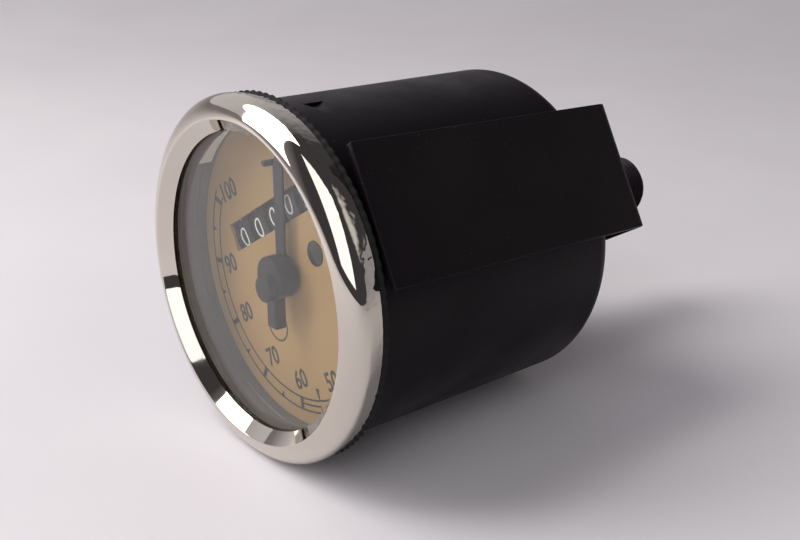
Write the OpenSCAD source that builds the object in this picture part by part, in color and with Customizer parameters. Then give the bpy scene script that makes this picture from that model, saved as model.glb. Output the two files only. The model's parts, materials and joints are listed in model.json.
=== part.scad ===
// Vintage motorcycle speedometer: chrome bezel, drag-cup movement, five-drum odometer
// and a bridge clamp that pulls the instrument against a panel.
// Millimetres. The instrument's axis is Y: the panel seat is at Y = 0, the dial faces -Y
// and depth behind the panel seat grows along +Y. X is the dial's right and Z is its top
// until the whole instrument is rolled about Y, as it lies on a bench.

/* [Bench] */
// Roll of the instrument as it lies on its side, degrees
bench_roll = 30; // [0:1:60]

/* [Case] */
// Diameter of the black can
case_d = 74.8; // [72:0.2:84]
// Depth of the can behind the panel seat
case_depth = 67.2; // [64:0.2:90]
// Sheet thickness of the can
case_wall = 1.2; // [0.8:0.1:1.6]
// Rounding of the can's rear edge
case_corner = 4.5; // [3:0.5:8]
// Thickness of the can's front flange
case_flange_t = 0.9; // [0.6:0.1:1.4]
// How far the flange stands out from the can
case_flange_w = 0.7; // [0.4:0.1:1]

/* [Bezel and glass] */
// How far the chrome bezel stands out from the can
bezel_overhang = 2.6; // [2.2:0.1:4]
// Radius of the bezel's half-round roll
bezel_roll_r = 4.1; // [3.6:0.1:4.6]
// Sheet thickness of the bezel
bezel_sheet = 0.6; // [0.4:0.1:0.8]
// How much the bezel's skirt draws in towards the panel
bezel_taper = 0.5; // [0:0.1:0.8]
// Thickness of the glass
glass_t = 1.6; // [1.2:0.1:2.4]
// Thickness of the rubber seal behind the glass
seal_t = 0.5; // [0.4:0.1:1]
// Thickness of the rubber gasket on the panel seat
gasket_t = 1.2; // [0.8:0.1:2]
// Number of ribs around the gasket's edge
gasket_ribs = 104; // [60:1:140]

/* [Dial] */
// Depth of the dial's face behind the panel seat
dial_setback = 4.2; // [3:0.1:8]
// Thickness of the dial plate
dial_t = 0.8; // [0.5:0.1:1.2]
// Sheet thickness of the ring between the glass and the dial
ring_t = 0.6; // [0.4:0.1:0.8]
// Width of the odometer window
window_w = 35; // [30:0.5:36]
// Height of the odometer window
window_h = 6.4; // [5:0.1:8]
// Sideways place of the odometer window
window_x = -0.8; // [-2:0.1:1]
// Height of the odometer window above the dial's centre
window_z = 13.2; // [12.6:0.1:14.5]
// Radius of the tell-tale lens
lens_r = 2.8; // [2:0.1:3.5]
// Place of the tell-tale lens, right and up from the dial's centre
lens_at = [12.2, 1.2];

/* [Needle] */
// Direction of the needle at zero, degrees anticlockwise from the dial's right
zero_angle = 59.5; // [45:0.5:75]
// Reach of the needle's tip from the centre
needle_tip = 26.8; // [22:0.2:30]
// Reach of the needle's tail from the centre
needle_tail = 11.6; // [8:0.2:16]
// Width of the needle's blade
needle_w = 3.4; // [2:0.1:4]
// Width of the needle's tail
needle_tail_w = 3.4; // [3:0.1:6]
// Rise of the tail's block in front of the blade
tail_rise = 2.8; // [0.5:0.1:3]
// Thickness of the needle
needle_t = 0.6; // [0.4:0.1:0.8]
// Height of the needle above the dial
needle_lift = 1.6; // [1.2:0.1:2.4]
// Radius of the disc under the needle's cap
hub_r = 4.8; // [4:0.1:6]
// Radius of the needle's cap
cap_r = 4.8; // [3:0.1:5.5]
// Height of the needle's cap
cap_h = 3.2; // [2:0.1:4]
// Radius of the small boss on the cap
boss_r = 3; // [1.5:0.1:3.5]
// Offset of the boss from the axis, towards the tail
boss_at = 2.1; // [1:0.1:3]
// Height of the boss in front of the blade
boss_h = 4.9; // [4:0.1:5.4]
// Radius of the zero stop pin
stop_r = 0.7; // [0.5:0.1:1]
// Distance of the zero stop pin from the centre
stop_at = 24.6; // [20:0.2:26]
// Height of the zero stop pin above the dial
stop_h = 4; // [3:0.1:5]

/* [Odometer] */
// Radius of the digit drums
drum_r = 10; // [9.6:0.1:10.2]
// Spacing of the digit drums
drum_pitch = 7.1; // [6.6:0.1:7.4]
// Width of a drum's digit rim
rim_w = 5.2; // [4.6:0.1:5.4]
// Gap from the dial's back to the drums
drum_gap = 0.7; // [0.5:0.1:1.5]
// Radius of the odometer axle
odo_axle_r = 1.5; // [1:0.1:2]
// Radius of the transfer pinions' axle
pinion_axle_r = 0.8; // [0.6:0.1:1]
// Sheet thickness of the odometer frame
odo_sheet = 1; // [0.8:0.1:1.4]

/* [Movement] */
// Radius of the drag magnet
magnet_r = 12.6; // [10:0.1:13]
// Room from the hairspring to the speed cup
spring_room = 1.95; // [1.6:0.05:3]
// Sheet thickness of the speed cup
cup_t = 0.6; // [0.4:0.1:0.8]
// Sheet thickness of the field cup
field_t = 1; // [0.8:0.1:1.4]
// Air gap on each side of the speed cup
air_gap = 0.8; // [0.5:0.1:1]
// Radius of the needle's arbor
arbor_r = 0.8; // [0.6:0.05:1]
// Thickness of the bridge plate
bridge_t = 1.4; // [1:0.1:2]
// Thickness of the base plate
base_t = 3; // [2:0.1:4]
// Height of the base plate's feet
foot_h = 2.2; // [1.8:0.1:4]
// Radius of the pillars
pillar_r = 2.4; // [2:0.1:3]
// Turns of the hairspring
spring_turns = 5.5; // [3.5:1:6.5]
// Thickness of the hairspring's strip
spring_t = 0.35; // [0.25:0.05:0.4]
// Height of the hairspring's strip
spring_h = 0.8; // [0.5:0.1:1]

/* [Gear train] */
// Teeth of the wheel on the cross shaft
cross_teeth = 10; // [10:1:12]
// Teeth of the wheel on the lay shaft
lay_teeth = 14; // [13:1:15]
// Teeth of the gear on the first drum
drum_teeth = 10; // [10:1:12]
// Tooth module of the cross shaft's wheel
cross_m = 1; // [0.9:0.05:1.05]
// Tooth module of the lay shaft's wheel
lay_m = 1.25; // [1.15:0.05:1.3]
// Tooth module of the first drum's gear
drum_m = 1.2; // [1.1:0.05:1.25]
// Tooth module of the transfer pinions
pinion_m = 0.8; // [0.75:0.05:0.8]
// Pitch radius of the drive worm
drive_worm_r = 3.6; // [3.4:0.1:4]
// Pitch radius of the lay shaft's worm
lay_worm_r = 3.4; // [3.2:0.1:3.8]
// Turns of thread on each worm
worm_turns = 2.5; // [2:0.25:2.75]
// Radius of the cross and lay shafts
shaft_r = 1.2; // [1:0.1:1.4]

/* [Bridge clamp] */
// Width of the clamp's strap
strap_w = 29.2; // [20:0.2:32]
// Sheet thickness of the strap
strap_t = 2; // [1.5:0.1:2.5]
// Gap from the can to the strap's legs
leg_gap = 0.9; // [0.5:0.1:2]
// Gap from the can's back to the strap
strap_gap = 4; // [3.5:0.1:8]
// Thickness of the panel that the legs press on
panel_t = 1.1; // [0.8:0.1:3]
// Inner radius of the strap's bends
bend_r = 0.6; // [0.4:0.1:2]
// Radius of the clamp's studs
stud_r = 2.5; // [2:0.1:3]
// Distance of the studs in from the can's side
stud_inset = 11.4; // [11:0.2:14]

/* [Drive neck] */
// Length of the neck behind the can
neck_len = 48.2; // [40:0.1:60]
// Radius of the neck's cable thread
thread_r = 8; // [7:0.1:8.5]
// Length of the neck's cable thread
thread_len = 18; // [14:0.5:22]
// Radius of the neck's barrel
neck_r = 9.6; // [8.8:0.1:10.5]
// Radius of the neck's flange on the can
neck_flange_r = 14; // [12:0.1:15]
// Radius of the bore that takes the cable's ferrule
ferrule_r = 5.4; // [5.3:0.1:6]
// Depth of the bore that takes the cable's ferrule
ferrule_len = 12; // [10:0.5:14]
// Side of the square socket that takes the cable's core
socket_w = 2.8; // [2:0.1:3.2]
// Radius of the drive spindle in its bush
spindle_r = 3; // [2.6:0.1:3.2]

/* [Hidden] */
$fn = 72;

// Clearance of a running fit, of a seated fit and between moving faces
run = 0.05;
seat = 0.02;
clear = 0.5;

chrome = "Gainsboro";
black_paint = [0.10, 0.09, 0.09];
black_rubber = [0.14, 0.14, 0.14];
dial_gold = [0.72, 0.60, 0.44];
drum_black = [0.08, 0.08, 0.09];
brass = [0.78, 0.62, 0.30];
steel = [0.62, 0.63, 0.65];
zinc = [0.55, 0.56, 0.58];
alloy = [0.78, 0.79, 0.80];

// Radii that follow from the can
case_r = case_d / 2;
case_in_r = case_r - case_wall;
bezel_r = case_r + bezel_overhang;
roll_r = bezel_r - bezel_roll_r;
flange_r = case_r + case_flange_w;
lip_trim = 0.5;
lip_r = roll_r - bezel_roll_r + lip_trim;
ring_r = case_in_r - ring_t - 1;
dial_r = case_in_r - 0.4;
seal_r = flange_r - 0.2;
glass_r = seal_r - 1.1;

// Depths of the front stack, from the panel seat forwards
crimp_y = -gasket_t - bezel_sheet;
flange_y = crimp_y - case_flange_t;
ring_y = flange_y - ring_t;
seal_y = ring_y - seal_t;
glass_y = seal_y - glass_t;
lip_drop = 0.9;
roll_y = glass_y + lip_drop;

// Depths of the dial, the odometer and the bridge, from the panel seat backwards
dial_y = dial_setback;
dial_back = dial_y + dial_t;
needle_y = dial_y - needle_lift - needle_t;
drum_y = dial_back + drum_gap + drum_r;
web_y = drum_y + drum_r + 0.7;
bridge_y = web_y + odo_sheet;
bridge_back = bridge_y + bridge_t;
spring_y = bridge_back + 1.2;

// Tooth heights as shares of the module, and tooth thickness as a share of the pitch
tip_share = 0.85;
root_share = 1.15;
worm_tooth = 0.32;
spur_tooth = 0.4;
flank_slope = tan(20);
function pitch_r(teeth, m) = teeth * m / 2;
function tip_r(teeth, m) = pitch_r(teeth, m) + tip_share * m;
function root_r(teeth, m) = pitch_r(teeth, m) - root_share * m;

// Depths of the base, the worm stage and the magnet, from the can's back forwards
back_in = case_depth - case_wall;
base_back = back_in - foot_h;
base_y = base_back - base_t;
cross_y = base_y - tip_r(cross_teeth, cross_m) - 1.15;
field_back = cross_y - tip_r(cross_teeth, cross_m) - 3;
field_disc_t = 1.2;
cup_y = spring_y + spring_h + spring_room;
cup_room = 1.6;
magnet_y = cup_y + cup_t + cup_room;
magnet_back = field_back - field_disc_t;
cup_in_r = magnet_r + air_gap;
cup_r = cup_in_r + cup_t;
field_in_r = cup_r + air_gap;
field_r = field_in_r + field_t;

// Odometer places, with the first drum on the right
drum_count = 5;
digits = 10;
spur_teeth = 20;
pinion_teeth = 8;
lock_w = 0.8;
side_gap = 0.2;
spur_w = drum_pitch - rim_w - lock_w - side_gap;
lock_r = root_r(spur_teeth, pinion_m) - 0.2;
pinion_z = window_z + pitch_r(spur_teeth, pinion_m) + pitch_r(pinion_teeth, pinion_m);
pinion_play = 0.15;
function rim_x(n) = window_x + ((drum_count + 1) / 2 - n) * drum_pitch - rim_w / 2;
odo_left = rim_x(drum_count) - lock_w - clear;
arm_x = rim_x(1) + rim_w + clear;

// Gear train places
gear_w = 2.4;
lay_x = rim_x(1) + rim_w + clear + lay_worm_r + tip_share * drum_m;
odo_right = lay_x + lay_worm_r + tip_share * drum_m + clear;
cross_z = -drive_worm_r - pitch_r(cross_teeth, cross_m);
lay_z = window_z - lay_worm_r - pitch_r(drum_teeth, drum_m);
cross_worm_r = lay_z - cross_z - pitch_r(lay_teeth, lay_m);
// Room between the cross wheel and the left lug
wheel_room = 8;
cross_left = -gear_w / 2 - wheel_room;
cross_right = lay_x + worm_turns * PI * lay_m / 2 + 1;
lug_t = 2.6;
lug_half = 3.4;
ear_y = drum_y - worm_turns * PI * drum_m / 2 - 1.4 - odo_sheet;

// Pillar, foot and screw places, right and up from the axis
pillar_ring = case_in_r - pillar_r - 1.2;
pillar_at = [for (a = [150, 235, 315]) pillar_ring * [cos(a), sin(a)]];
pillar_stud_r = 1.3;
foot_r = 4;
foot_ring = case_in_r - case_corner - foot_r + 0.8;
foot_at = [for (a = [90, 210, 330]) foot_ring * [cos(a), sin(a)]];
base_r = pillar_ring + pillar_stud_r + 0.8;
screw_r = 1.5;
screw_head_r = 2.8;
screw_head_h = 2;
odo_screw_at = [[-4.5, window_z - 3], [4.5, window_z - 3]];

// Clamp places
stud_at = case_r - stud_inset;
leg_x = case_r + leg_gap;
strap_y = case_depth + strap_gap;
strap_back = strap_y + strap_t;
washer_t = 1.2;
nut_h = 4;
nut_r = stud_r * 1.85;

// Neck and spindle places
neck_flange_t = 2.6;
neck_end = case_depth + neck_len;
spigot_r = 9;
bush_r = ferrule_r - 0.4;
bush_len = 20;
collar_r = bush_r - 0.6;
collar_len = 5;
collar_y = neck_end - ferrule_len - 1.2 - collar_len;
bush_y = collar_y - 0.4 - bush_len;
washer_ring_t = 0.8;
clip_y = bush_y - 0.4 - washer_ring_t;
nose_r = 1.8;

// A finished piece: its colour and the roll that the whole instrument shares
module piece(shade) color(shade) rotate([0, -bench_roll, 0]) children();

// A turned shape about the axis, its outline drawn as radius and depth
module turned() rotate([-90, 0, 0]) rotate_extrude() children();

// A turned ring between two radii and two depths
module ring(outer, inner, y0, y1) turned() translate([inner, y0]) square([outer - inner, y1 - y0]);

// Round bars along the depth and across the dial
module bar_y(at, r, y0, y1)
  translate([at[0], y0, at[1]]) rotate([-90, 0, 0]) cylinder(r = r, h = y1 - y0);
module bar_x(y, z, r, x0, x1)
  translate([x0, y, z]) rotate([0, 90, 0]) cylinder(r = r, h = x1 - x0);

// Flat plates: one outlined as the dial is seen, one outlined as depth and height
module plate_y(y0, t) translate([0, y0 + t, 0]) rotate([90, 0, 0]) linear_extrude(t) children();
module plate_x(x0, t) translate([x0, 0, 0]) rotate([90, 0, 90]) linear_extrude(t) children();

// Outline of a gear with straight-flanked teeth and a tooth space at one angle
module gear_outline(teeth, m, share, space_at) {
  half = share * 90 * 2 / teeth;
  function swing(rise) = half - rise * m * flank_slope / pitch_r(teeth, m) * 180 / PI;
  corners = [[-root_share, -1], [tip_share, -1], [tip_share, 1], [-root_share, 1]];
  polygon([for (k = [0:teeth - 1]) for (c = corners)
    let (a = space_at + (k + 0.5) * 360 / teeth + c[1] * swing(c[0]))
    (pitch_r(teeth, m) + c[0] * m) * [cos(a), sin(a)]]);
}

// Length of a worm, and its bored right-hand thread with a crest at one angle halfway along
worm_slices = round(12 * worm_turns);
function worm_len(m) = worm_turns * PI * m;
module worm(m, middle_r, bore_r, crest_at) {
  lead = PI * m;
  length = worm_len(m);
  function half_angle(rise) = 360 * (worm_tooth / 2 - rise * m * flank_slope / lead);
  tip_a = half_angle(tip_share);
  root_a = half_angle(-root_share);
  flank = [for (s = [0, 1 / 3, 2 / 3, 1])
    [tip_a + s * (root_a - tip_a), tip_share - s * (tip_share + root_share)]];
  floor_a = [for (i = [1:5]) [root_a + i * (360 - 2 * root_a) / 6, -root_share]];
  back = [for (i = [3:-1:0]) [360 - flank[i][0], flank[i][1]]];
  difference() {
    rotate(crest_at - 180 * worm_turns)
      linear_extrude(length, center = true, twist = -360 * worm_turns, slices = worm_slices, $fn = 13)
        polygon([for (p = concat(flank, floor_a, back)) (middle_r + p[1] * m) * [cos(p[0]), sin(p[0])]]);
    cylinder(r = bore_r, h = length + 2, center = true);
  }
}

// Front of the instrument

module bezel() piece(chrome) turned() {
  difference() {
    translate([roll_r, roll_y]) circle(bezel_roll_r);
    translate([roll_r, roll_y]) circle(bezel_roll_r - bezel_sheet);
    translate([0, roll_y]) square([2 * bezel_r, bezel_r]);
    translate([0, roll_y - bezel_r]) square([lip_r, 2 * bezel_r]);
    translate([0, glass_y]) square([roll_r, bezel_r]);
  }
  skirt_r = bezel_r - bezel_taper;
  polygon([[bezel_r, roll_y], [skirt_r, crimp_y + bezel_sheet], [case_r + seat, crimp_y + bezel_sheet],
    [case_r + seat, crimp_y], [skirt_r - bezel_sheet, crimp_y], [bezel_r - bezel_sheet, roll_y]]);
}

module glass() piece([0.8, 0.85, 0.85, 0.35]) turned() {
  bevel = 0.3;
  polygon([[0, glass_y], [glass_r - bevel, glass_y], [glass_r, glass_y + bevel],
    [glass_r, seal_y], [0, seal_y]]);
}

module glass_seal() piece(black_rubber) turned() {
  translate([ring_r, seal_y]) square([seal_r - ring_r, seal_t]);
  edge_y = glass_y + bezel_sheet;
  translate([glass_r + seat, edge_y]) square([seal_r - glass_r - seat, seal_y + seal_t - edge_y]);
}

module shadow_ring() piece("DimGray") turned() {
  translate([ring_r, ring_y]) square([seal_r - ring_r, ring_t]);
  translate([ring_r, ring_y]) square([ring_t, dial_y - ring_y]);
}

module panel_gasket() piece(black_rubber) plate_y(-gasket_t, gasket_t) {
  rib = 0.5;
  step = 360 / gasket_ribs;
  outline = [for (k = [0:gasket_ribs - 1]) for (s = [[0, -rib], [0.25, 0], [0.6, 0]])
    (bezel_r - 0.1 + s[1]) * [cos((k + s[0]) * step), sin((k + s[0]) * step)]];
  difference() {
    polygon(outline);
    circle(case_r + seat);
  }
}

// Outline of the can, with its wall taken off by an inset
module can_outline(inset) {
  r = case_r - inset;
  back = case_depth - inset;
  corner = case_corner - inset;
  translate([0, flange_y]) square([r - corner, back - flange_y]);
  translate([0, flange_y]) square([r, back - corner - flange_y]);
  translate([r - corner, back - corner]) circle(corner);
}

module case() piece(black_paint) difference() {
  turned() difference() {
    union() {
      can_outline(0);
      translate([0, flange_y]) square([flange_r, case_flange_t]);
    }
    can_outline(case_wall);
    square([spigot_r + seat, 2 * case_depth]);
    translate([-2 * case_r, 0]) square([2 * case_r, 2 * case_depth]);
  }
  for (side = [-1, 1]) bar_y([side * stud_at, 0], stud_r + seat, back_in - 1, case_depth + 1);
  for (p = foot_at) bar_y(p, screw_r + seat, back_in - 1, case_depth + 1);
}

module dial() piece(dial_gold) plate_y(dial_y, dial_t) difference() {
  circle(dial_r);
  circle(arbor_r + 1.6);
  translate([window_x, window_z]) square([window_w, window_h], center = true);
  translate(lens_at) circle(lens_r + seat);
  rotate(stop_angle()) translate([stop_at, 0]) circle(stop_r + seat);
}

// Direction of the stop pin, beside the needle's edge at zero
function stop_angle() = zero_angle + asin((needle_w / 2 + stop_r + 0.3) / stop_at);

module stop_pin() piece(black_paint) {
  at = stop_at * [cos(stop_angle()), sin(stop_angle())];
  bar_y(at, stop_r, dial_y - stop_h, dial_back);
  bar_y(at, stop_r + 0.5, dial_back, dial_back + 0.6);
}

module tell_tale_lens() piece([0.16, 0.19, 0.15]) translate([lens_at[0], 0, lens_at[1]]) turned() {
  crown = 0.5;
  sphere_r = (lens_r * lens_r + crown * crown) / (2 * crown);
  intersection() {
    translate([0, dial_y - crown + sphere_r]) circle(sphere_r);
    translate([0, dial_y - crown]) square([lens_r, crown + dial_t]);
  }
  translate([0, dial_back]) square([lens_r + 0.7, 0.5]);
}

// Bridge clamp

module bracket() piece(black_paint) difference() {
  linear_extrude(strap_w, center = true) difference() {
    outer_r = bend_r + strap_t;
    half = leg_x + strap_t;
    union() {
      translate([-half, panel_t]) square([2 * half, strap_back - outer_r - panel_t]);
      translate([outer_r - half, panel_t]) square([2 * (half - outer_r), strap_back - panel_t]);
      for (side = [-1, 1]) translate([side * (half - outer_r), strap_back - outer_r]) circle(outer_r);
    }
    translate([-leg_x, 0]) square([2 * leg_x, strap_y - bend_r]);
    translate([bend_r - leg_x, 0]) square([2 * (leg_x - bend_r), strap_y]);
    for (side = [-1, 1]) translate([side * (leg_x - bend_r), strap_y - bend_r]) circle(bend_r);
  }
  bar_y([0, 0], neck_r + 1.4, strap_y - 1, strap_back + 1);
  for (side = [-1, 1]) bar_y([side * stud_at, 0], stud_r + 0.3, strap_y - 1, strap_back + 1);
}

module bracket_studs() piece(steel) for (side = [-1, 1]) {
  at = [side * stud_at, 0];
  bar_y(at, 2 * stud_r, back_in - 1.4, back_in);
  bar_y(at, stud_r, back_in - 1, strap_back + washer_t + nut_h + 3);
}

module bracket_washers() piece(steel) for (side = [-1, 1]) difference() {
  bar_y([side * stud_at, 0], 2.1 * stud_r, strap_back, strap_back + washer_t);
  bar_y([side * stud_at, 0], stud_r + seat, strap_back - 1, strap_back + washer_t + 1);
}

module bracket_nuts() piece(steel) for (side = [-1, 1]) difference() {
  y0 = strap_back + washer_t;
  bar_y([side * stud_at, 0], nut_r, y0, y0 + nut_h, $fn = 6);
  bar_y([side * stud_at, 0], stud_r + seat, y0 - 1, y0 + nut_h + 1);
}

// Drive neck, its bush and the base of the movement

module drive_neck() piece(black_paint) turned() {
  groove = 0.8;
  bevel = 1;
  thread_y = neck_end - thread_len;
  ferrule_y = neck_end - ferrule_len;
  barrel_y = case_depth + neck_flange_t;
  polygon([[bush_r, back_in - 0.8], [spigot_r + 0.6, back_in - 0.8], [spigot_r + 0.6, back_in],
    [spigot_r, back_in], [spigot_r, case_depth], [neck_flange_r, case_depth],
    [neck_flange_r, barrel_y - 0.6], [neck_flange_r - 0.6, barrel_y], [neck_r, barrel_y],
    [neck_r, thread_y - 3 * groove], [thread_r - groove, thread_y - 2 * groove],
    [thread_r - groove, thread_y], [thread_r, thread_y], [thread_r, neck_end - bevel],
    [thread_r - bevel, neck_end], [ferrule_r, neck_end], [ferrule_r, ferrule_y], [bush_r, ferrule_y]]);
}

module neck_bush() piece(brass) ring(bush_r - seat, spindle_r + run, bush_y, bush_y + bush_len);

module base() piece(zinc) difference() {
  union() {
    ring(base_r, nose_r + run, base_y, base_back);
    for (p = foot_at) bar_y(p, foot_r, base_y, back_in);
    for (x = [cross_left, cross_right]) translate([x, cross_y - lug_half, cross_z - lug_half])
      cube([lug_t, base_y + 1 - cross_y + lug_half, 2 * lug_half]);
  }
  bar_x(cross_y, cross_z, shaft_r + run, cross_left - 1, cross_right + lug_t + 1);
  bar_y([lay_x, lay_z], shaft_r + run, base_y - 1, back_in);
  for (p = foot_at) bar_y(p, screw_r + seat, base_y - 1, back_in + 1);
  for (p = pillar_at) bar_y(p, pillar_stud_r + seat, base_y - 1, base_back + 1);
  bar_y([0, 0], spigot_r + 1.4, base_back - 0.5, back_in);
}

module base_screws() piece(steel) for (p = foot_at) {
  bar_y(p, screw_head_r, case_depth, case_depth + screw_head_h);
  bar_y(p, screw_r, base_y, case_depth + 0.5);
}

module rear_pillars() piece(steel) for (p = pillar_at) difference() {
  union() {
    bar_y(p, pillar_r, bridge_back, base_y);
    bar_y(p, pillar_stud_r, base_y - 1, base_back);
  }
  bar_y(p, pillar_stud_r + seat, bridge_back - 1, bridge_back + 6);
}

module dial_pillars() piece(steel) for (p = pillar_at) {
  bar_y(p, pillar_r, dial_back, bridge_y);
  bar_y(p, pillar_stud_r, bridge_y - 1, bridge_back + 5);
}

module bridge() piece(brass) plate_y(bridge_y, bridge_t) difference() {
  arm_w = 10;
  tab_w = 14;
  union() {
    circle(spring_out_r + 2);
    for (p = pillar_at) {
      translate(p) circle(pillar_r + 0.9);
      rotate(atan2(p[1], p[0])) translate([0, -arm_w / 2]) square([norm(p), arm_w]);
    }
    translate([-tab_w / 2, 0]) square([tab_w, window_z + 2]);
  }
  circle(bush_flange_r - 1 + seat);
  for (p = pillar_at) translate(p) circle(pillar_stud_r + seat);
  for (p = odo_screw_at) translate(p) circle(screw_r + seat);
  translate(spring_end) circle(stud_pin_r + seat);
}

// Flanged bush that carries the arbor in the bridge
bush_flange_r = 3;
module arbor_bush() piece(brass) {
  ring(bush_flange_r - 1, arbor_r + run, bridge_y, bridge_back);
  ring(bush_flange_r, arbor_r + run, bridge_y - 0.6, bridge_y);
}

// Flat spiral spring from the collet on the arbor to a stud on the bridge
collet_r = 2.2;
spring_in_r = collet_r + 0.1 + spring_t / 2;
spring_out_r = 9;
stud_pin_r = 0.8;
spring_end_a = 360 * spring_turns;
spring_end = (spring_out_r + spring_t / 2 + stud_pin_r + seat) * [cos(spring_end_a), sin(spring_end_a)];

coil_steps = round(24 * spring_turns);
function coil(i, side) = let (s = i / coil_steps, r = spring_in_r + (spring_out_r - spring_in_r) * s)
  (r + side * spring_t / 2) * [cos(spring_end_a * s), sin(spring_end_a * s)];
module hairspring() piece(steel) plate_y(spring_y, spring_h)
  polygon(concat([for (i = [0:coil_steps]) coil(i, 1)], [for (i = [coil_steps:-1:0]) coil(i, -1)]));

module hairspring_stud() piece(brass) bar_y(spring_end, stud_pin_r, bridge_y, spring_y + spring_h + 0.3);

module hairspring_collet() piece(brass)
  ring(collet_r, arbor_r + seat, spring_y - 0.2, spring_y + spring_h + 0.2);

// Needle, its arbor and the speed cup

module needle_tail_bar()
  translate([-needle_tail, -needle_tail_w / 2]) square([needle_tail, needle_tail_w]);

module needle() piece(black_paint) {
  point = 2.4;
  plate_y(needle_y, needle_t) difference() {
    union() {
      circle(hub_r);
      rotate(zero_angle) {
        polygon([[0, -needle_w / 2], [needle_tip - point, -needle_w / 2], [needle_tip, -needle_w / 6],
          [needle_tip, needle_w / 6], [needle_tip - point, needle_w / 2], [0, needle_w / 2]]);
        needle_tail_bar();
      }
    }
    circle(arbor_r + seat);
  }
  plate_y(needle_y - tail_rise, tail_rise + needle_t) difference() {
    rotate(zero_angle) needle_tail_bar();
    circle(cap_r + seat);
    rotate(zero_angle) translate([-boss_at, 0]) circle(boss_r + seat);
  }
}

// A round button with an eased front edge
module button(r, edge, y0, y1) turned() {
  translate([0, y0]) square([r - edge, y1 - y0]);
  translate([0, y0 + edge]) square([r, y1 - y0 - edge]);
  intersection() {
    translate([r - edge, y0 + edge]) circle(edge);
    translate([0, y0]) square([r, 2 * edge]);
  }
}

module needle_cap() piece(black_paint) difference() {
  union() {
    button(cap_r, 0.5, needle_y - cap_h, needle_y);
    rotate([0, -zero_angle, 0]) translate([-boss_at, 0, 0])
      button(boss_r, 0.4, needle_y - boss_h, needle_y - cap_h / 2);
  }
  bar_y([0, 0], arbor_r + seat, needle_y - cap_h / 2, needle_y + 1);
}

pivot_r = 0.6;
pivot_len = 3;
module arbor() piece(steel) {
  bar_y([0, 0], arbor_r, needle_y - cap_h / 2, magnet_y - 0.6);
  bar_y([0, 0], pivot_r, magnet_y - 1, magnet_y + pivot_len);
  ring(arbor_r + 0.8, arbor_r / 2, needle_y + needle_t, needle_y + needle_t + 0.8);
}

module speed_cup() piece(alloy) turned() {
  translate([arbor_r + seat, cup_y]) square([cup_r - arbor_r - seat, cup_t]);
  translate([cup_in_r, cup_y]) square([cup_t, magnet_back - 0.8 - cup_y]);
  translate([arbor_r + seat, cup_y - 0.6]) square([1.6, 0.6]);
}

// Drive spindle with its magnet

// Length of the spindle's thick end before its clip, and depth of its square socket
spindle_shoulder = 2;
socket_len = 12;
module spindle() piece(steel) difference() {
  turned() polygon([[0, magnet_y], [nose_r, magnet_y], [nose_r, clip_y - spindle_shoulder],
    [spindle_r, clip_y - spindle_shoulder],
    [spindle_r, collar_y], [collar_r, collar_y], [collar_r, collar_y + collar_len],
    [0, collar_y + collar_len]]);
  bar_y([0, 0], pivot_r + run, magnet_y - 1, magnet_y + pivot_len + 0.5);
  translate([0, collar_y + collar_len, 0]) cube([socket_w, 2 * socket_len, socket_w], center = true);
}

module spindle_worm() piece(steel) translate([0, cross_y, 0]) rotate([90, 0, 0])
  worm(cross_m, drive_worm_r, nose_r + seat, 270);

module magnet() piece(zinc) ring(magnet_r, nose_r + seat, magnet_y, magnet_back);

module field_cup() piece(steel) turned() {
  translate([nose_r + seat, magnet_back]) square([field_r - nose_r - seat, field_disc_t]);
  translate([field_in_r, magnet_y]) square([field_t, field_back - magnet_y]);
}

module thrust_washer() piece(brass) ring(bush_r - 0.4, spindle_r + seat, clip_y + 0.3, bush_y - 0.1);

module spindle_clip() piece(steel) ring(bush_r - 0.6, spindle_r + seat, clip_y - 0.6, clip_y + 0.2);

// Worm shafts between the spindle and the odometer

module cross_shaft() piece(steel)
  bar_x(cross_y, cross_z, shaft_r, cross_left - 0.4, cross_right + lug_t + 0.4);

// A worm wheel's outline with its bore
module wheel_outline(teeth, m, bore_r, space_at) difference() {
  gear_outline(teeth, m, worm_tooth, space_at);
  circle(bore_r);
}

module cross_wheel() piece(brass) translate([0, cross_y, cross_z]) plate_x(-gear_w / 2, gear_w)
  wheel_outline(cross_teeth, cross_m, shaft_r + seat, 90);

module cross_worm() piece(steel) translate([lay_x, cross_y, cross_z]) rotate([90, 0, 90])
  worm(lay_m, cross_worm_r, shaft_r + seat, 90);

module lay_shaft() piece(steel) bar_y([lay_x, lay_z], shaft_r, ear_y, base_back);

module lay_wheel() piece(brass) translate([lay_x, 0, lay_z]) plate_y(cross_y - gear_w / 2, gear_w)
  wheel_outline(lay_teeth, lay_m, shaft_r + seat, 270);

module lay_worm() piece(steel) translate([lay_x, drum_y, lay_z]) rotate([90, 0, 0])
  worm(drum_m, lay_worm_r, shaft_r + seat, 90);

// Odometer

// Outline of a cheek's arm up to the pinions' axle, drawn as depth and height
arm_r = 3;
module pinion_arm() {
  translate([drum_y, pinion_z]) circle(arm_r);
  translate([drum_y, pinion_z - arm_r]) square([web_y + odo_sheet - drum_y, 2 * arm_r]);
}

// What is inside a cylinder that clears the can's wall
frame_room = 0.4;
module inside_can() intersection() {
  children();
  bar_y([0, 0], case_in_r - frame_room, 0, case_depth);
}

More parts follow.
